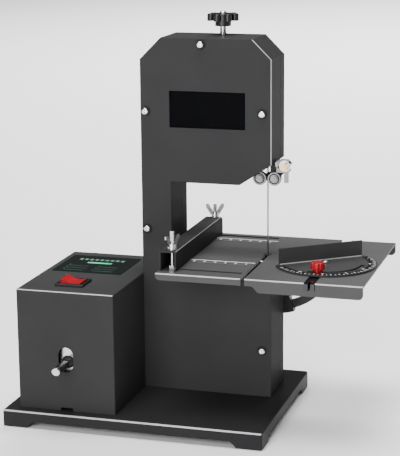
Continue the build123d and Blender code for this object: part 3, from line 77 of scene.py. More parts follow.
@dataclass(frozen=True)
class Finish:
    """One surface finish, made as a node material on object coordinates.

    Attributes:
        name: Name of the material.
        colour: Base colour, linear red, green and blue.
        metallic: Share of metal in the shader.
        roughness: Middle roughness of the surface.
        grain: Which fine pattern it has.
        grain_size: Size of one grain, in metres.
        grain_depth: Height of the grain, in metres.
        shade: How much the colour varies over larger patches.
        coat: Weight of a clear top layer.
        specular: Strength of the surface reflection on a non-metal.
        alpha: Opacity.
    """

    name: str
    colour: tuple[float, float, float]
    metallic: float = 0.0
    roughness: float = 0.5
    grain: Grain = Grain.MOULDED
    grain_size: float = 0.0006
    grain_depth: float = 0.00002
    shade: float = 0.1
    coat: float = 0.0
    specular: float = 0.5
    alpha: float = 1.0

    def material(self) -> bpy.types.Material:
        """The finish's material, made once.

        Returns:
            The material with this finish's name.
        """
        found = bpy.data.materials.get(self.name)
        if found is not None:
            return found
        made = bpy.data.materials.new(self.name)
        made.use_nodes = True
        nodes, links = made.node_tree.nodes, made.node_tree.links
        shader = nodes["Principled BSDF"]
        shader.inputs["Metallic"].default_value = self.metallic
        shader.inputs["Coat Weight"].default_value = self.coat
        shader.inputs["Coat Roughness"].default_value = COAT_ROUGHNESS
        shader.inputs["Specular IOR Level"].default_value = self.specular
        shader.inputs["Alpha"].default_value = self.alpha
        place = nodes.new("ShaderNodeTexCoord")
        stretch = nodes.new("ShaderNodeMapping")
        stretch.inputs["Scale"].default_value = self._stretch()
        links.new(place.outputs["Object"], stretch.inputs["Vector"])
        fine = nodes.new("ShaderNodeTexNoise")
        fine.inputs["Scale"].default_value = 1.0 / self.grain_size
        fine.inputs["Detail"].default_value = GRAIN_DETAIL
        links.new(stretch.outputs["Vector"], fine.inputs["Vector"])
        broad = nodes.new("ShaderNodeTexNoise")
        broad.inputs["Scale"].default_value = PATCH_SCALE
        broad.inputs["Detail"].default_value = PATCH_DETAIL
        links.new(place.outputs["Object"], broad.inputs["Vector"])
        tone = nodes.new("ShaderNodeValToRGB")
        dark, light = 1.0 - self.shade, 1.0 + self.shade
        for stop, end, share in zip(tone.color_ramp.elements, TONE_ENDS, (dark, light)):
            stop.position = end
            stop.color = (*[min(1, c * share) for c in self.colour], 1)
        links.new(broad.outputs["Fac"], tone.inputs["Fac"])
        links.new(tone.outputs["Color"], shader.inputs["Base Color"])
        gloss = nodes.new("ShaderNodeMapRange")
        least = max(LEAST_ROUGHNESS, self.roughness - ROUGHNESS_SPAN)
        gloss.inputs["To Min"].default_value = least
        gloss.inputs["To Max"].default_value = min(1.0, self.roughness + ROUGHNESS_SPAN)
        links.new(fine.outputs["Fac"], gloss.inputs["Value"])
        links.new(gloss.outputs["Result"], shader.inputs["Roughness"])
        bump = nodes.new("ShaderNodeBump")
        bump.inputs["Strength"].default_value = BUMP_STRENGTH
        bump.inputs["Distance"].default_value = self.grain_depth
        links.new(fine.outputs["Fac"], bump.inputs["Height"])
        links.new(bump.outputs["Normal"], shader.inputs["Normal"])
        return made

    def _stretch(self) -> tuple[float, float, float]:
        """How the grain is stretched.

        Returns:
            Scale of the grain along each axis.
        """
        if self.grain is Grain.BRUSHED:
            return (1.0, 0.04, 1.0)
        if self.grain is Grain.TURNED:
            return (1.0, 1.0, 0.1)
        return (1.0, 1.0, 1.0)


POWDER = Finish("charcoal powder coat", (0.034, 0.034, 0.035), 0.0, 0.40, Grain.POWDER,
                0.00045, 0.00003, 0.05, specular=0.004)
BASE_POWDER = Finish("base powder coat", (0.020, 0.020, 0.021), 0.0, 0.40, Grain.POWDER,
                     0.00045, 0.00003, 0.06, specular=0.06)
TABLE = Finish("table powder coat", (0.066, 0.066, 0.067), 0.0, 0.42, Grain.POWDER,
               0.00045, 0.00003, 0.05, specular=0.06)
# Painted highlight: light grey laid on rounded bends, standing in for the glint of the lamps there.
PAINTED_BEND_HIGHLIGHT = Finish("painted highlight along a bend", (0.40, 0.40, 0.41), 0.0, 0.30, Grain.POWDER,
              0.00045, 0.00002, 0.12)
# Black paint on the iron parts and the gauge band; on the fence slot walls of the table the same black is painted
# shade.
BLACK_PAINT_AND_SLOT_SHADE = Finish("black paint and painted slot shade", (0.008, 0.008, 0.009), 0.0, 0.35, Grain.POWDER,
                     0.0006, 0.00002, 0.1, specular=0.3)
GAUGE = Finish("gauge powder coat", (0.038, 0.038, 0.039), 0.0, 0.42, Grain.POWDER,
               0.00045, 0.00003, 0.05, specular=0.06)
ZINC = Finish("zinc-plated steel", (0.66, 0.66, 0.67), 1.0, 0.24, Grain.TURNED, 0.0003,
              0.000006, 0.06)
STEEL = Finish("turned steel", (0.20, 0.20, 0.205), 1.0, 0.26, Grain.TURNED, 0.0003,
               0.000006, 0.08)
DARK_STEEL = Finish("blackened steel", (0.05, 0.05, 0.055), 1.0, 0.36, Grain.TURNED, 0.0003,
                    0.000006, 0.1)
BLADE = Finish("spring steel", (0.085, 0.085, 0.088), 1.0, 0.34, Grain.BRUSHED, 0.0003,
               0.000006, 0.1)
ALUMINIUM = Finish("machined aluminium", (0.64, 0.65, 0.66), 1.0, 0.34, Grain.TURNED,
                   0.0004, 0.00001, 0.05)
RUBBER = Finish("black rubber", (0.008, 0.008, 0.008), 0.0, 0.78, Grain.MOULDED, 0.0008,
                0.00005, 0.15, specular=0.3)
PLASTIC = Finish("black plastic", (0.008, 0.008, 0.009), 0.0, 0.36, Grain.MOULDED, 0.0005,
                 0.00002, 0.1, specular=0.4)
RED = Finish("red plastic", (0.30, 0.001, 0.006), 0.0, 0.24, Grain.MOULDED, 0.0012,
             0.00001, 0.08, 0.1, 0.3)
BRASS = Finish("brass", (0.14, 0.065, 0.016), 1.0, 0.28, Grain.TURNED, 0.0004, 0.00001, 0.08)
SMOKED = Finish("smoked acrylic", (0.003, 0.003, 0.004), 0.0, 0.08, Grain.MOULDED, 0.01,
                0.000002, 0.05, 0.0, 0.01, 0.92)
FILM = Finish("black printed film", (0.006, 0.009, 0.008), 0.0, 0.30, Grain.MOULDED, 0.002,
              0.000004, 0.05, 0.0, 0.25)
WHITE_INK = Finish("white ink", (0.72, 0.73, 0.73), 0.0, 0.5, Grain.MOULDED, 0.001,
                   0.000002, 0.05)
PALE_INK = Finish("pale green ink", (0.10, 0.20, 0.15), 0.0, 0.5, Grain.MOULDED, 0.001,
                  0.000002, 0.1)
GREY_INK = Finish("grey ink", (0.16, 0.16, 0.16), 0.0, 0.5, Grain.MOULDED, 0.001,
                  0.000002, 0.05)
GREEN_INK = Finish("green ink", (0.10, 0.55, 0.30), 0.0, 0.45, Grain.MOULDED, 0.001,
                   0.000002, 0.1)
TEAL_INK = Finish("teal ink", (0.02, 0.055, 0.045), 0.0, 0.5, Grain.MOULDED, 0.001,
                  0.000002, 0.1)
BOARD = Finish("green circuit board", (0.015, 0.12, 0.05), 0.0, 0.35, Grain.MOULDED, 0.002,
               0.00003, 0.3, 0.3)
FLOOR = Finish("pale floor", (0.92, 0.92, 0.92), 0.0, 0.8, Grain.MOULDED, 0.02, 0.00001, 0.01)


class Shape:
    """A mesh under construction, in the frame that all the parts share."""

    def __init__(self, name: str) -> None:
        """Start an empty mesh.

        Args:
            name: Name of the finished piece.
        """
        self.name = name
        self.mesh = bmesh.new()

    def block(self, low: Sequence[float], high: Sequence[float],
              turn: Matrix | None = None) -> "Shape":
        """Add a box between two corners.

        Args:
            low: Lowest corner.
            high: Highest corner.
            turn: Optional turn that is applied to the placed box.

        Returns:
            This shape.
        """
        size = Vector(high) - Vector(low)
        middle = (Vector(high) + Vector(low)) / 2
        place = Matrix.Translation(middle) @ Matrix.Diagonal((*size, 1))
        if turn is not None:
            place = turn @ place
        bmesh.ops.create_cube(self.mesh, size=1.0, matrix=place)
        return self

    def rod(self, centre: Vector, radius: float, length: float, axis: str = "Z",
            sides: int = 48) -> "Shape":
        """Add a round bar centred on a point.

        Args:
            centre: Middle of the bar.
            radius: Radius of the bar.
            length: Length of the bar.
            axis: Axis letter that the bar lies along.
            sides: Number of sides.

        Returns:
            This shape.
        """
        turns = {"Z": Matrix.Identity(4), "Y": Matrix.Rotation(pi / 2, 4, "X"),
                 "X": Matrix.Rotation(pi / 2, 4, "Y")}
        bmesh.ops.create_cone(self.mesh, cap_ends=True, segments=sides, radius1=radius,
                              radius2=radius, depth=length,
                              matrix=Matrix.Translation(centre) @ turns[axis])
        return self

    def ring(self, back: Vector, inner: float, outer: float, depth: float) -> "Shape":
        """Add a flat ring about Y that reaches forward from its back face.

        Args:
            back: Centre of the back face.
            inner: Inner radius.
            outer: Outer radius.
            depth: Depth of the ring along Y.

        Returns:
            This shape.
        """
        corners = ((inner, 0.0), (outer, 0.0), (outer, -depth), (inner, -depth))
        return self.turned(back, corners)

    def turned(self, place: Vector, outline: tuple[tuple[float, float], ...],
               steps: int = 64) -> "Shape":
        """Turn a closed outline about the Y axis through a point.

        Args:
            place: Point on the axis.
            outline: Radius and distance along Y of each corner.
            steps: Faces round the axis.

        Returns:
            This shape.
        """
        verts = [self.mesh.verts.new(place + Vector((r, y, 0))) for r, y in outline]
        edges = [self.mesh.edges.new((verts[i - 1], verts[i])) for i in range(len(verts))]
        bmesh.ops.spin(self.mesh, geom=verts + edges, cent=place, axis=(0, 1, 0),
                       angle=2 * pi, steps=steps, use_merge=True, use_duplicate=False)
        bmesh.ops.remove_doubles(self.mesh, verts=self.mesh.verts, dist=1e-7)
        return self

    def knurled(self, front: Vector, radius: float, groove: float, depth: float,
                teeth: int) -> "Shape":
        """Add a knurled head about Y that reaches back from its front face.

        Args:
            front: Centre of the front face.
            radius: Radius over the teeth.
            groove: Depth of the grooves.
            depth: Depth of the head.
            teeth: Number of teeth.

        Returns:
            This shape.
        """
        turn = Matrix.Translation(front) @ Matrix.Rotation(-pi / 2, 4, "X")
        rim = bmesh.ops.create_circle(self.mesh, cap_ends=True, segments=2 * teeth,
                                      radius=radius, matrix=turn)["verts"]
        for vert in rim[::2]:
            vert.co += (front - vert.co).normalized() * groove
        face = rim[0].link_faces[0]
        grown = bmesh.ops.extrude_face_region(self.mesh, geom=[face])["geom"]
        moved = [v for v in grown if isinstance(v, bmesh.types.BMVert)]
        bmesh.ops.translate(self.mesh, verts=moved, vec=(0, depth, 0))
        return self

    def piece(self, finish: Finish, body: str, slot: str) -> bpy.types.Object:
        """Close the mesh and make it a piece that rides on a body.

        Args:
            finish: Finish of the piece.
            body: Body that it rides on.
            slot: Material slot of the record; not used.

        Returns:
            The finished object.
        """
        bmesh.ops.recalc_face_normals(self.mesh, faces=self.mesh.faces)
        data = bpy.data.meshes.new(self.name)
        self.mesh.to_mesh(data)
        self.mesh.free()
        made = bpy.data.objects.new(self.name, data)
        bpy.context.scene.collection.objects.link(made)
        made.data.materials.append(finish.material())
        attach(made, body)
        log.info("%s: %d faces", self.name, len(data.polygons))
        return made


def body_of(node: str) -> str:
    """Name of the body that a part belongs to.

    Args:
        node: Name of the part.

    Returns:
        The body's name.
    """
    bodies = frame["record"]["behaviour"]["bodies"]
    return next(body for body, members in bodies.items() if node in members)


def slot_of(node: str) -> str:
    """Material slot of a part in the record.

    Args:
        node: Name of the part.

    Returns:
        The slot's name.
    """
    parts = frame["record"]["subparts"]
    return next(part["material_slot"] for part in parts if part["node"] == node)


def joint_place(name: str) -> Vector:
    """Where a joint stands at rest.

    Args:
        name: Name of the joint.

    Returns:
        A point on the joint's axis.
    """
    return Vector(next(j["pos_m"] for j in frame["joints"] if j["name"] == name))


def dress(node: str, finish: Finish) -> None:
    """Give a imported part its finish.

    Args:
        node: Name of the part.
        finish: Finish that it takes.
    """
    data = frame["nodes"][node].data
    data.materials.clear()
    data.materials.append(finish.material())


@dataclass(frozen=True)
class Area:
    """Faces of a part that take another finish: those in a box that face a way.

    Attributes:
        finish: Finish of these faces.
        low: Lowest corner of the box.
        high: Highest corner of the box.
        facing: Direction that the faces look in.
        spread: Widest angle between a face and that direction, in degrees.
    """

    finish: Finish
    low: Vector
    high: Vector
    facing: Vector
    spread: float = 30.0

    def holds(self, face: bmesh.types.BMFace) -> bool:
        """Whether a face belongs to the area.

        Args:
            face: The face in question.

        Returns:
            True when its middle lies in the box and it faces the right way.
        """
        middle = face.calc_center_median()
        inside = all(a <= m <= b for a, m, b in zip(self.low, middle, self.high))
        return inside and face.normal.angle(self.facing, pi) < radians(self.spread)


def bend(low: Vector, high: Vector, sides: str, width: float = 3.0 * MM) -> Area:
    """The rounded strip where two folded sides of a part's box meet.

    Args:
        low: Lowest corner of the part.
        high: Highest corner of the part.
        sides: Two of the box's sides, such as "-y+z".
        width: How far from the corner the strip may lie.

    Returns:
        The area in the light grey of a painted highlight.
    """
    box_low, box_high, facing = low.copy(), high.copy(), Vector((0, 0, 0))
    for sign, axis in (sides[:2], sides[2:]):
        index = "xyz".index(axis)
        facing[index] = 1.0 if sign == "+" else -1.0
        if sign == "+":
            box_low[index] = high[index] - width
        else:
            box_high[index] = low[index] + width
    slack = Vector((MM, MM, MM))
    # The strip takes the light grey of the painted highlight.
    return Area(PAINTED_BEND_HIGHLIGHT, box_low - slack, box_high + slack, facing.normalized(), 40.0)


def soften(node: str, finish: Finish, width: float, segments: int = 2,
           areas: tuple[Area, ...] = ()) -> bpy.types.Object:
    """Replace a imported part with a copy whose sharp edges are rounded.

    Args:
        node: Name of the part.
        finish: Finish of the copy.
        width: Width of the rounding.
        segments: Faces across the rounding.
        areas: Faces that take another finish.

    Returns:
        The rounded piece, which stands for the part.
    """
    mesh = bmesh.new()
    mesh.from_mesh(frame["nodes"][node].data)
    bmesh.ops.remove_doubles(mesh, verts=mesh.verts, dist=2e-6)
    bmesh.ops.dissolve_limit(mesh, angle_limit=radians(0.6), verts=mesh.verts,
                             edges=mesh.edges)
    sharp = [e for e in mesh.edges if e.is_manifold and e.calc_face_angle(0) > radians(35)]
    bmesh.ops.bevel(mesh, geom=sharp, offset=width, offset_type="OFFSET", affect="EDGES",
                    segments=segments, profile=0.5, material=-1, clamp_overlap=True)
    finishes = [finish]
    for face in mesh.faces:
        face.smooth = True
        area = next((a for a in areas if a.holds(face)), None)
        if area is not None:
            if area.finish not in finishes:
                finishes.append(area.finish)
            face.material_index = finishes.index(area.finish)
        else:
            face.material_index = 0
    painted = sum(face.material_index > 0 for face in mesh.faces)
    data = bpy.data.meshes.new(f"{node}_rounded")
    mesh.to_mesh(data)
    mesh.free()
    made = bpy.data.objects.new(f"{node}_rounded", data)
    bpy.context.scene.collection.objects.link(made)
    for used in finishes:
        data.materials.append(used.material())
    level = made.modifiers.new("flat_faces", "WEIGHTED_NORMAL")
    level.mode = "FACE_AREA"
    level.weight = 100
    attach(made, body_of(node))
    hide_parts(node)
    log.info("%s: rounded by %.2f mm, %d faces in another finish", node, width / MM, painted)
    return made


@dataclass
class Casing:
    """The C-shaped casing, its cover, window and screws, on the folded base."""

    edge: float = 0.8 * MM
    base_edge: float = 0.7 * MM
    washer_edge: float = 0.2 * MM
    slope_reach: float = 22 * MM
    slope_facing: tuple[float, float, float] = (0.5, -0.7, 0.5)
    slope_spread: float = 32

    def build(self) -> None:
        """Dress every part of the casing."""
        base_low, base_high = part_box("base_tray")
        # The front top bend of the base gets a painted highlight.
        soften("base_tray", BASE_POWDER, self.base_edge,
               areas=(bend(base_low, base_high, "-y+z"),))
        # Painted highlight on the top-right slope of the cover and on its front-right edge, the edge only above
        # the table where the lamps catch it.
        cover_low, cover_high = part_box("front_cover")
        corner = Vector((cover_high.x - self.slope_reach, cover_low.y - MM,
                         cover_high.z - self.slope_reach))
        slope = Area(PAINTED_BEND_HIGHLIGHT, corner, cover_high + Vector((MM, MM, MM)),
                     Vector(self.slope_facing).normalized(), self.slope_spread)
        above_table = Vector((cover_low.x, cover_low.y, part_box("table_top")[1].z))
        soften("front_cover", POWDER, self.edge,
               areas=(bend(above_table, cover_high, "+x-y"), slope))
        soften("rear_frame", POWDER, self.edge)
        dress("window_pane", SMOKED)
        dress("cover_screws", ZINC)
        soften("cover_washers", RUBBER, self.washer_edge)


@dataclass
class WheelsAndDrive:
    """Both wheels, the tension screw and the belt drive inside the casing."""

    zinc: tuple[str, ...] = ("tension_screw", "tension_nut", "lower_shaft", "upper_axle",
                             "upper_wheel_bearings", "shaft_bearings", "motor_bracket",
                             "motor_shaft", "small_screws")
    aluminium: tuple[str, ...] = ("lower_wheel", "upper_wheel", "wheel_carriage",
                                  "driven_pulley", "motor_pulley", "bearing_block")
    rubber: tuple[str, ...] = ("lower_tyre", "upper_tyre", "drive_belt")
    knob_edge: float = 0.35 * MM
    plate_gap: float = 0.1 * MM
    plate_margin: float = 1.5 * MM
    plate_depth: float = 0.5 * MM
    seal_inner: float = 4.4 * MM
    seal_outer: float = 6.2 * MM
    seal_depth: float = 0.9 * MM

    def build(self) -> None:
        """Dress the wheels and the drive."""
        for node in self.zinc:
            dress(node, ZINC)
        for node in self.aluminium:
            dress(node, ALUMINIUM)
        for node in self.rubber:
            dress(node, RUBBER)
        dress("carriage_rails", BLACK_PAINT_AND_SLOT_SHADE)
        soften("tension_knob", PLASTIC, self.knob_edge)
        dress("motor_can", BLACK_PAINT_AND_SLOT_SHADE)
        dress("spindle_sleeve", PLASTIC)
        self.motor_face()

    def motor_face(self) -> None:
        """A bright end plate on the motor, with a dark seal round its spindle."""
        low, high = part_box("motor_can")
        centre = joint_place("motor_spin")
        back = Vector((centre.x, low.y - self.plate_gap, centre.z))
        body = body_of("motor_can")
        plate = Shape("motor_end_plate")
        plate.ring(back, self.seal_outer, (high.x - low.x) / 2 - self.plate_margin,
                   self.plate_depth)
        plate.piece(ZINC, body, slot_of("motor_bracket"))
        seal = Shape("spindle_seal")
        seal.ring(back, self.seal_inner, self.seal_outer, self.seal_depth)
        seal.piece(RUBBER, body, slot_of("drive_belt"))


@dataclass
class Blade:
    """The blade's teeth on the open stretch, and the guides above the table."""

    pitch: float = 1.8 * MM
    tooth: float = 0.7 * MM
    tooth_thickness: float = 0.45 * MM
    tooth_turn: float = radians(150)
    tooth_inset: float = 0.25 * MM
    tooth_reach: float = 0.1 * MM
    below_table: float = 8 * MM
    bracket_edge: float = 0.25 * MM
    arm_edge: float = 0.3 * MM
    bearing_cut: float = 0.4 * MM
    ring_shares: tuple[float, float, float] = (0.78, 0.60, 0.34)
    head_share: float = 0.40
    face_share: float = 0.72
    face_depth: float = 0.9 * MM
    groove: float = 0.35 * MM
    knurls: int = 30
    shank: float = 1.9 * MM
    shank_sides: int = 32
    rib_front: float = 34.3 * MM
    rib_width: float = 3.0 * MM
    rib_corners: tuple[tuple[float, float], ...] = ((55.5, 226.9), (66.9, 226.9), (66.9, 234.8))

    def build(self) -> None:
        """Dress the blade and the guides and add the teeth."""
        dress("saw_blade", BLADE)
        self.teeth()
        for node in ("upper_guide_bearing_left", "upper_guide_bearing_right"):
            self.bearing(node)
        dress("guide_pins", STEEL)
        dress("thumb_screw_washer", ZINC)
        soften("guide_bracket", STEEL, self.bracket_edge)
        soften("upper_guide_arm", BLACK_PAINT_AND_SLOT_SHADE, self.arm_edge)
        self.gusset()
        dress("lower_guide_block", PLASTIC)
        self.thumb_screw()

    def gusset(self) -> None:
        """A triangular rib between the foot and the stem of the guide arm."""
        rib = Shape("guide_arm_gusset")
        corners = [rib.mesh.verts.new((x * MM, self.rib_front, z * MM))
                   for x, z in self.rib_corners]
        face = rib.mesh.faces.new(corners)
        grown = bmesh.ops.extrude_face_region(rib.mesh, geom=[face])
        moved = [v for v in grown["geom"] if isinstance(v, bmesh.types.BMVert)]
        bmesh.ops.translate(rib.mesh, verts=moved, vec=(0, self.rib_width, 0))
        rib.piece(BLACK_PAINT_AND_SLOT_SHADE, body_of("upper_guide_arm"), slot_of("upper_guide_arm"))

    def bearing(self, node: str) -> None:
        """A ball bearing with a dark seal between two chamfered rings.

        Args:
            node: The plain bearing that it stands for.
        """
        low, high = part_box(node)
        middle = (low + high) / 2
        front, width, outer = low.y, high.y - low.y, (high.x - low.x) / 2
        place = Vector((middle.x, front, middle.z))
        rings = Shape(f"{node}_rings")
        cut = self.bearing_cut
        land, race, bore = (share * outer for share in self.ring_shares)
        rings.turned(place, ((land, 0), (outer - cut, 0), (outer, cut), (outer, width - cut),
                             (outer - cut, width), (land, width)))
        rings.turned(place, ((bore, 0), (race, 0), (race, width), (bore, width)))
        made = rings.piece(STEEL, body_of(node), slot_of(node))
        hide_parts(node)
        seal = Shape(f"{node}_seal")
        seal.turned(place, ((race, cut), (land, cut), (land, width - cut), (race, width - cut)))
        seal.piece(RUBBER, body_of(node), slot_of("upper_tyre"))

    def thumb_screw(self) -> None:
        """A brass screw with a knurled head, a turned face and a plain shank."""
        low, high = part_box("brass_thumb_screw")
        middle = (low + high) / 2
        radius = self.head_share * (high.x - low.x)
        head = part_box("thumb_screw_washer")[0].y - low.y
        screw = Shape("knurled_thumb_screw")
        front = Vector((middle.x, low.y + self.face_depth, middle.z))
        screw.knurled(front, radius, self.groove, head - self.face_depth, self.knurls)
        screw.rod(Vector((middle.x, low.y + self.face_depth / 2, middle.z)),
                  self.face_share * radius, self.face_depth, "Y")
        screw.rod(Vector((middle.x, (low.y + head + high.y) / 2, middle.z)), self.shank,
                  high.y - low.y - head, "Y", self.shank_sides)
        made = screw.piece(BRASS, body_of("brass_thumb_screw"), slot_of("brass_thumb_screw"))
        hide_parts("brass_thumb_screw")

    def teeth(self) -> None:
        """One small three-sided tooth every pitch along the open stretch of the blade."""
        low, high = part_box("saw_blade")
        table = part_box("table_top")[1].z
        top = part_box("upper_guide_arm")[1].z
        row = Shape("blade_teeth")
        height = table - self.below_table
        turn = Matrix.Rotation(pi / 2, 4, "Y") @ Matrix.Rotation(self.tooth_turn, 4, "Z")
        while height < top:
            place = Matrix.Translation((high.x - self.tooth_inset, low.y - self.tooth_reach,
                                        height))
            bmesh.ops.create_cone(row.mesh, cap_ends=True, segments=3, radius1=self.tooth,
                                  radius2=self.tooth, depth=self.tooth_thickness,
                                  matrix=place @ turn)
            height += self.pitch
        row.piece(BLADE, body_of("saw_blade"), slot_of("saw_blade"))


@dataclass
class Table:
    """The tilting table with its rulers, and the half-moon below it."""

    line: float = 1.3 * MM
    ink: float = 0.08 * MM
    step: float = 10.0 * MM
    steps: int = 6
    fine_per_step: int = 5
    fine_half: float = 0.2 * MM
    fine_span: tuple[float, float] = (0.85, 0.62)
    foot_share: float = 0.72
    end_gap: float = 1.5 * MM
    ruler_depth: float = 12 * MM
    number_size: float = 5.4 * MM
    number_right: float = 2.5 * MM
    number_down: float = 6.9 * MM
    slot_drop: float = 3 * MM
    slot_reach: float = 20 * MM
    slot_clear: float = 0.05 * MM
    slot_spread: float = 60.0
    table_edge: float = 0.5 * MM
    iron_edge: float = 0.4 * MM
    knob_edge: float = 0.3 * MM

    def build(self) -> None:
        """Dress the table and print its rulers."""
        low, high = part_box("table_top")
        front_slot, back_slot = (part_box(node)[0].y for node in ("wing_nut_front", "wing_nut_back"))
        slots = tuple(self.slot_wall(y, high.z) for y in (front_slot, back_slot))
        # The front top bend gets a painted highlight, and the forward walls of the fence slots get painted shade
        # in black.
        soften("table_top", TABLE, self.table_edge, areas=(bend(low, high, "-y+z"), *slots))
        dress("miter_track", TABLE)
        dress("table_rulers", TABLE)
        for node in ("table_trunnion", "trunnion_bracket", "trunnion_clamp"):
            soften(node, BLACK_PAINT_AND_SLOT_SHADE, self.iron_edge)
        dress("trunnion_screws", ZINC)
        soften("tilt_clamp_knob", PLASTIC, self.knob_edge)
        self.rulers()

    def slot_wall(self, nut_front: float, top: float) -> Area:
        """The walls of a fence slot near the front of its wing nut, in black as painted shade.

        Args:
            nut_front: Front of the wing nut on the slot.
            top: Height of the table's face.

        Returns:
            The walls that face forward, with painted shade in black.
        """
        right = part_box("table_rulers")[1].x
        low = Vector((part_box("fence_channel")[0].x, nut_front, top - self.slot_drop))
        high = Vector((right, nut_front + self.slot_reach, top - self.slot_clear))
        # The black on these walls is painted shade, not the table's own colour.
        return Area(BLACK_PAINT_AND_SLOT_SHADE, low, high, Vector((0, -1, 0)), self.slot_spread)

    def rulers(self) -> None:
        """A white line, fine grey ticks and a number at every step of each ruler."""
        low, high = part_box("table_rulers")
        body, slot = body_of("table_rulers"), slot_of("table_rulers")
        depth, fine_step = self.ruler_depth, self.step / self.fine_per_step
        count = int((high.x - low.x - 2 * self.end_gap) / fine_step)
        marks, fine = Shape("ruler_marks"), Shape("ruler_fine_ticks")
        top = high.z + self.ink
        for back in (low.y + depth, high.y):
            marks.block((low.x, back - self.line, high.z), (high.x, back, top))
            marks.block((low.x, back - self.foot_share * depth, high.z),
                        (low.x + self.line, back, top))
            for index in range(1, count + 1):
                x = high.x - self.end_gap - index * fine_step
                fine.block((x - self.fine_half, back - self.fine_span[0] * depth, high.z),
                           (x + self.fine_half, back - self.fine_span[1] * depth, top))
        marks.piece(WHITE_INK, body, slot)
        fine.piece(GREY_INK, body, slot)
        for row, back in enumerate((low.y + depth, high.y)):
            for index in range(1, self.steps + 1):
                place = Vector((high.x + self.number_right - index * self.step,
                                back - self.number_down, high.z))
                print_text(f"ruler_{row}_number_{index}", str(index), self.number_size, place,
                           0.0, body)


def print_text(name: str, words: str, size: float, place: Vector, turn: float, body: str) -> None:
    """Print a number as a thin raised mark in white ink.

    Args:
        name: Name of the piece.
        words: What it says.
        size: Height of the type.
        place: Middle of its lower edge.
        turn: Turn about the upright axis, in radians.
        body: Body that it rides on.
    """
    curve = bpy.data.curves.new(name, "FONT")
    curve.body = words
    curve.size = size
    curve.align_x = "CENTER"
    curve.extrude = TYPE_DEPTH
    curve.offset = TYPE_GROWTH * size
    made = bpy.data.objects.new(f"{name}_type", curve)
    bpy.context.scene.collection.objects.link(made)
    bpy.context.view_layer.update()
    data = bpy.data.meshes.new_from_object(made)
    bpy.data.objects.remove(made)
    data.transform(Matrix.Translation(place) @ Matrix.Rotation(turn, 4, "Z"))
    data.materials.clear()
    data.materials.append(WHITE_INK.material())
    mark = bpy.data.objects.new(name, data)
    bpy.context.scene.collection.objects.link(mark)
    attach(mark, body)


@dataclass
class Fence:
    """The rip fence and the bolts that clamp it."""

    edge: float = 0.3 * MM
    bend_width: float = 2.0 * MM

    def build(self) -> None:
        """Dress the fence."""
        low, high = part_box("fence_channel")
        # The top right bend of the fence gets a painted highlight.
        soften("fence_channel", POWDER, self.edge,
               areas=(bend(low, high, "+x+z", self.bend_width),))
        for node in ("fence_bolts", "wing_nut_front", "wing_nut_back"):
            dress(node, ZINC)


@dataclass
class MiterGauge:
    """The miter gauge with its printed half circle."""

    scale_inner: float = 39.5 * MM
    scale_outer: float = 46.6 * MM
    ink: float = 0.1 * MM
    turn: float = radians(38)
    body: str = "miter_gauge"
    plate_y: float = 10.1 * MM
    plate_half: float = 42.0 * MM
    foot_depth: float = 0.9 * MM
    foot_height: float = 0.8 * MM
    head_edge: float = 0.25 * MM
    knob_edge: float = 0.3 * MM
    band_start: float = radians(-188)
    band_sweep: float = radians(196)
    band_steps: int = 72
    ticks: range = range(-90, 91, 5)
    long_every: int = 10
    long_tick: float = 3.4 * MM
    short_tick: float = 2.0 * MM
    tick_half: float = 0.28 * MM
    tick_margin: float = 0.3 * MM
    tick_top: float = 1.8
    numbers: range = range(-60, 61, 30)
    number_size: float = 2.6 * MM
    number_inset: float = 2.1 * MM

    def build(self) -> None:
        """Dress the gauge and print its scale."""
        soften("miter_head", GAUGE, self.head_edge)
        dress("miter_bar", DARK_STEEL)
        dress("miter_pivot_screw", ZINC)
        soften("miter_knob", RED, self.knob_edge)
        self.foot()
        self.scale()

    def foot(self) -> None:
        """A painted highlight: a light grey strip along the bend at the foot of the upright plate."""
        pivot = joint_place("miter_turn")
        turn = Matrix.Translation(pivot) @ Matrix.Rotation(self.turn, 4, "Z")
        strip = Shape("miter_foot_painted_highlight")
        strip.block((-self.plate_half, self.plate_y - self.foot_depth, 0),
                    (self.plate_half, self.plate_y, self.foot_height), turn)
        strip.piece(PAINTED_BEND_HIGHLIGHT, self.body, slot_of("miter_head"))

    def scale(self) -> None:
        """A dark band with white ticks round the edge of the half disc."""
        pivot, slot = joint_place("miter_turn"), slot_of("miter_head")
        band = Shape("miter_scale_band")
        start = Matrix.Translation(pivot) @ Matrix.Rotation(self.turn + self.band_start, 4, "Z")
        inner = band.mesh.verts.new(start @ Vector((self.scale_inner, 0, 0)))
        outer = band.mesh.verts.new(start @ Vector((self.scale_outer, 0, 0)))
        edge = band.mesh.edges.new((inner, outer))
        bmesh.ops.spin(band.mesh, geom=[inner, outer, edge], cent=pivot, axis=(0, 0, 1),
                       angle=self.band_sweep, steps=self.band_steps, use_duplicate=False)
        shell = bmesh.ops.extrude_face_region(band.mesh, geom=band.mesh.faces[:])
        moved = [v for v in shell["geom"] if isinstance(v, bmesh.types.BMVert)]
        bmesh.ops.translate(band.mesh, verts=moved, vec=(0, 0, self.ink))
        band.piece(BLACK_PAINT_AND_SLOT_SHADE, self.body, slot)
        ticks = Shape("miter_scale_ticks")
        rim = self.scale_outer - self.tick_margin
        for angle in self.ticks:
            reach = self.short_tick if angle % self.long_every else self.long_tick
            turn = (Matrix.Translation(pivot)
                    @ Matrix.Rotation(self.turn + radians(angle - 90), 4, "Z"))
            ticks.block((rim - reach, -self.tick_half, self.ink),
                        (rim, self.tick_half, self.tick_top * self.ink), turn)
        ticks.piece(WHITE_INK, self.body, slot)
        foot = self.scale_inner + self.number_inset
        for angle in self.numbers:
            heading = self.turn + radians(angle - 90)
            place = pivot + Vector((cos(heading), sin(heading), 0)) * foot
            place.z += self.ink
            print_text(f"miter_number_{angle + 90}", str(abs(angle)), self.number_size, place,
                       heading + pi / 2, self.body)


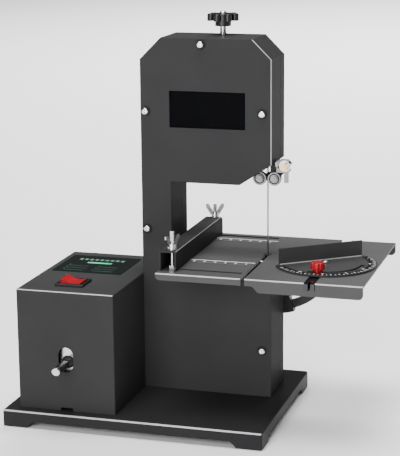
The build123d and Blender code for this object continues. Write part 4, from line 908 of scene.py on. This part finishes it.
@dataclass
class MotorBox:
    """The motor box with its label, switch and back panel.

    The places on the label are shares of its width and depth.
    """

    ink: float = 0.1 * MM
    shell_edge: float = 0.7 * MM
    panel_edge: float = 0.2 * MM
    switch_edge: float = 0.25 * MM
    bars: int = 9
    bar_start: float = 0.16
    bar_pitch: float = 0.076
    bar_width: float = 0.048
    bar_span: tuple[float, float] = (0.73, 0.81)
    pill_ends: tuple[float, float] = (0.36, 0.66)
    pill_span: tuple[float, float] = (0.55, 0.62)
    pill_radius: float = 0.035
    drawing_start: tuple[float, float] = (0.12, 0.10)
    drawing_pitch: tuple[float, float] = (0.42, 0.13)
    drawing_size: tuple[float, float] = (0.30, 0.09)
    stroke: tuple[float, float] = (0.014, 0.018)

    def build(self) -> None:
        """Dress the box and print its label."""
        low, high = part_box("box_shell")
        # The front top bend of the box gets a painted highlight.
        soften("box_shell", POWDER, self.shell_edge, areas=(bend(low, high, "-y+z"),))
        soften("box_back_panel", POWDER, self.panel_edge)
        dress("label_plate", FILM)
        soften("switch_bezel", PLASTIC, self.switch_edge)
        soften("switch_rocker", RED, self.switch_edge)
        dress("power_inlet", PLASTIC)
        dress("control_board", BOARD)
        self.label()

    def label(self) -> None:
        """Generic print: a heading row of bars, a green pill and faint line diagrams."""
        low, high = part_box("label_plate")
        body, slot = body_of("label_plate"), slot_of("label_plate")
        width, depth = high.x - low.x, high.y - low.y
        raised = Vector((0, 0, self.ink))

        def spot(x: float, y: float) -> Vector:
            """Point on the label.

            Args:
                x: Share of its width.
                y: Share of its depth.

            Returns:
                The point on its upper face.
            """
            return Vector((low.x + x * width, low.y + y * depth, high.z))

        heading = Shape("label_heading")
        for index in range(self.bars):
            x = self.bar_start + self.bar_pitch * index
            heading.block(spot(x, self.bar_span[0]),
                          spot(x + self.bar_width, self.bar_span[1]) + raised)
        heading.piece(PALE_INK, body, slot)
        pill = Shape("label_pill")
        left, right = self.pill_ends
        pill.block(spot(left, self.pill_span[0]), spot(right, self.pill_span[1]) + raised)
        for x in (left, right):
            pill.rod(spot(x, sum(self.pill_span) / 2) + raised / 2, self.pill_radius * depth,
                     self.ink)
        pill.piece(GREEN_INK, body, slot)
        drawing = Shape("label_diagrams")
        wide, tall = self.drawing_size
        for column in range(2):
            for row in range(3):
                x = self.drawing_start[0] + self.drawing_pitch[0] * column
                y = self.drawing_start[1] + self.drawing_pitch[1] * row
                drawing.block(spot(x, y), spot(x + wide, y + self.stroke[1]) + raised)
                drawing.block(spot(x, y), spot(x + self.stroke[0], y + tall) + raised)
        drawing.piece(TEAL_INK, body, slot)


@dataclass
class Studio:
    """Pale floor, soft lights and the camera."""

    eye: Vector = field(default_factory=lambda: Vector((0.4066, -1.3550, 0.5040)))
    azimuth: float = radians(16.71828)
    elevation: float = radians(12.94723)
    roll: float = radians(-0.51854)
    lens: float = 122.33
    sensor: float = 36.0
    floor_half: float = 6.0
    floor_drop: float = 0.0002
    world_strength: float = 0.07

    def build(self) -> None:
        """Set the stage."""
        floor = bmesh.new()
        bmesh.ops.create_grid(floor, x_segments=1, y_segments=1, size=self.floor_half)
        data = bpy.data.meshes.new("floor")
        floor.to_mesh(data)
        floor.free()
        ground = bpy.data.objects.new("floor", data)
        ground.location = (0, 0, -self.floor_drop)
        bpy.context.scene.collection.objects.link(ground)
        data.materials.append(FLOOR.material())
        self.light("front_soft", (-0.2, -2.4, 0.85), (0, 0, 0.18), 1.6, 76)
        self.light("right_soft", (1.9, -0.9, 0.9), (0, 0, 0.2), 1.0, 4)
        self.light("overhead_soft", (-0.1, -0.1, 2.4), (0, 0, 0.1), 1.2, 78)
        self.light("floor_wash", (0, 3.2, 2.6), (0, 3.4, 0), 3.0, 340).visible_glossy = False
        world = bpy.data.worlds.new("studio")
        bpy.context.scene.world = world
        world.use_nodes = True
        sky = world.node_tree.nodes["Background"]
        sky.inputs["Color"].default_value = (1, 1, 1, 1)
        sky.inputs["Strength"].default_value = self.world_strength
        self.camera()

    def light(self, name: str, place: tuple[float, float, float],
              target: tuple[float, float, float], size: float,
              power: float) -> bpy.types.Object:
        """Add a square soft light aimed at a point.

        Args:
            name: Name of the light.
            place: Where it stands.
            target: Where it points.
            size: Side of the light.
            power: Power in watts.

        Returns:
            The placed light.
        """
        lamp = bpy.data.lights.new(name, "AREA")
        lamp.size = size
        lamp.energy = power
        made = bpy.data.objects.new(name, lamp)
        made.location = place
        aim = Vector(target) - Vector(place)
        made.rotation_euler = aim.to_track_quat("-Z", "Y").to_euler()
        bpy.context.scene.collection.objects.link(made)
        return made

    def camera(self) -> None:
        """Place the camera by its heading, height angle and roll."""
        a, e, r = self.azimuth, self.elevation, self.roll
        back = Vector((sin(a) * cos(e), -cos(a) * cos(e), sin(e)))
        right = Vector((cos(a), sin(a), 0))
        up = back.cross(right)
        level_right = cos(r) * right + sin(r) * up
        level_up = cos(r) * up - sin(r) * right
        turn = Matrix((level_right, level_up, back)).transposed()
        view = bpy.data.cameras.new("camera")
        view.lens = self.lens
        view.sensor_width = self.sensor
        made = bpy.data.objects.new("camera", view)
        made.matrix_world = Matrix.Translation(self.eye) @ turn.to_4x4()
        bpy.context.scene.collection.objects.link(made)
        bpy.context.scene.camera = made


def main() -> None:
    """Build every sub-assembly, then set the stage."""
    logging.basicConfig(level=logging.INFO, format="%(name)s: %(message)s")
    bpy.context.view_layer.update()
    for part in (Casing(), WheelsAndDrive(), Blade(), Table(), Fence(), MiterGauge(), MotorBox()):
        part.build()
        log.info("%s is dressed", type(part).__name__)
    Studio().build()
    bpy.context.view_layer.update()


if __name__ == "__main__":
    main()
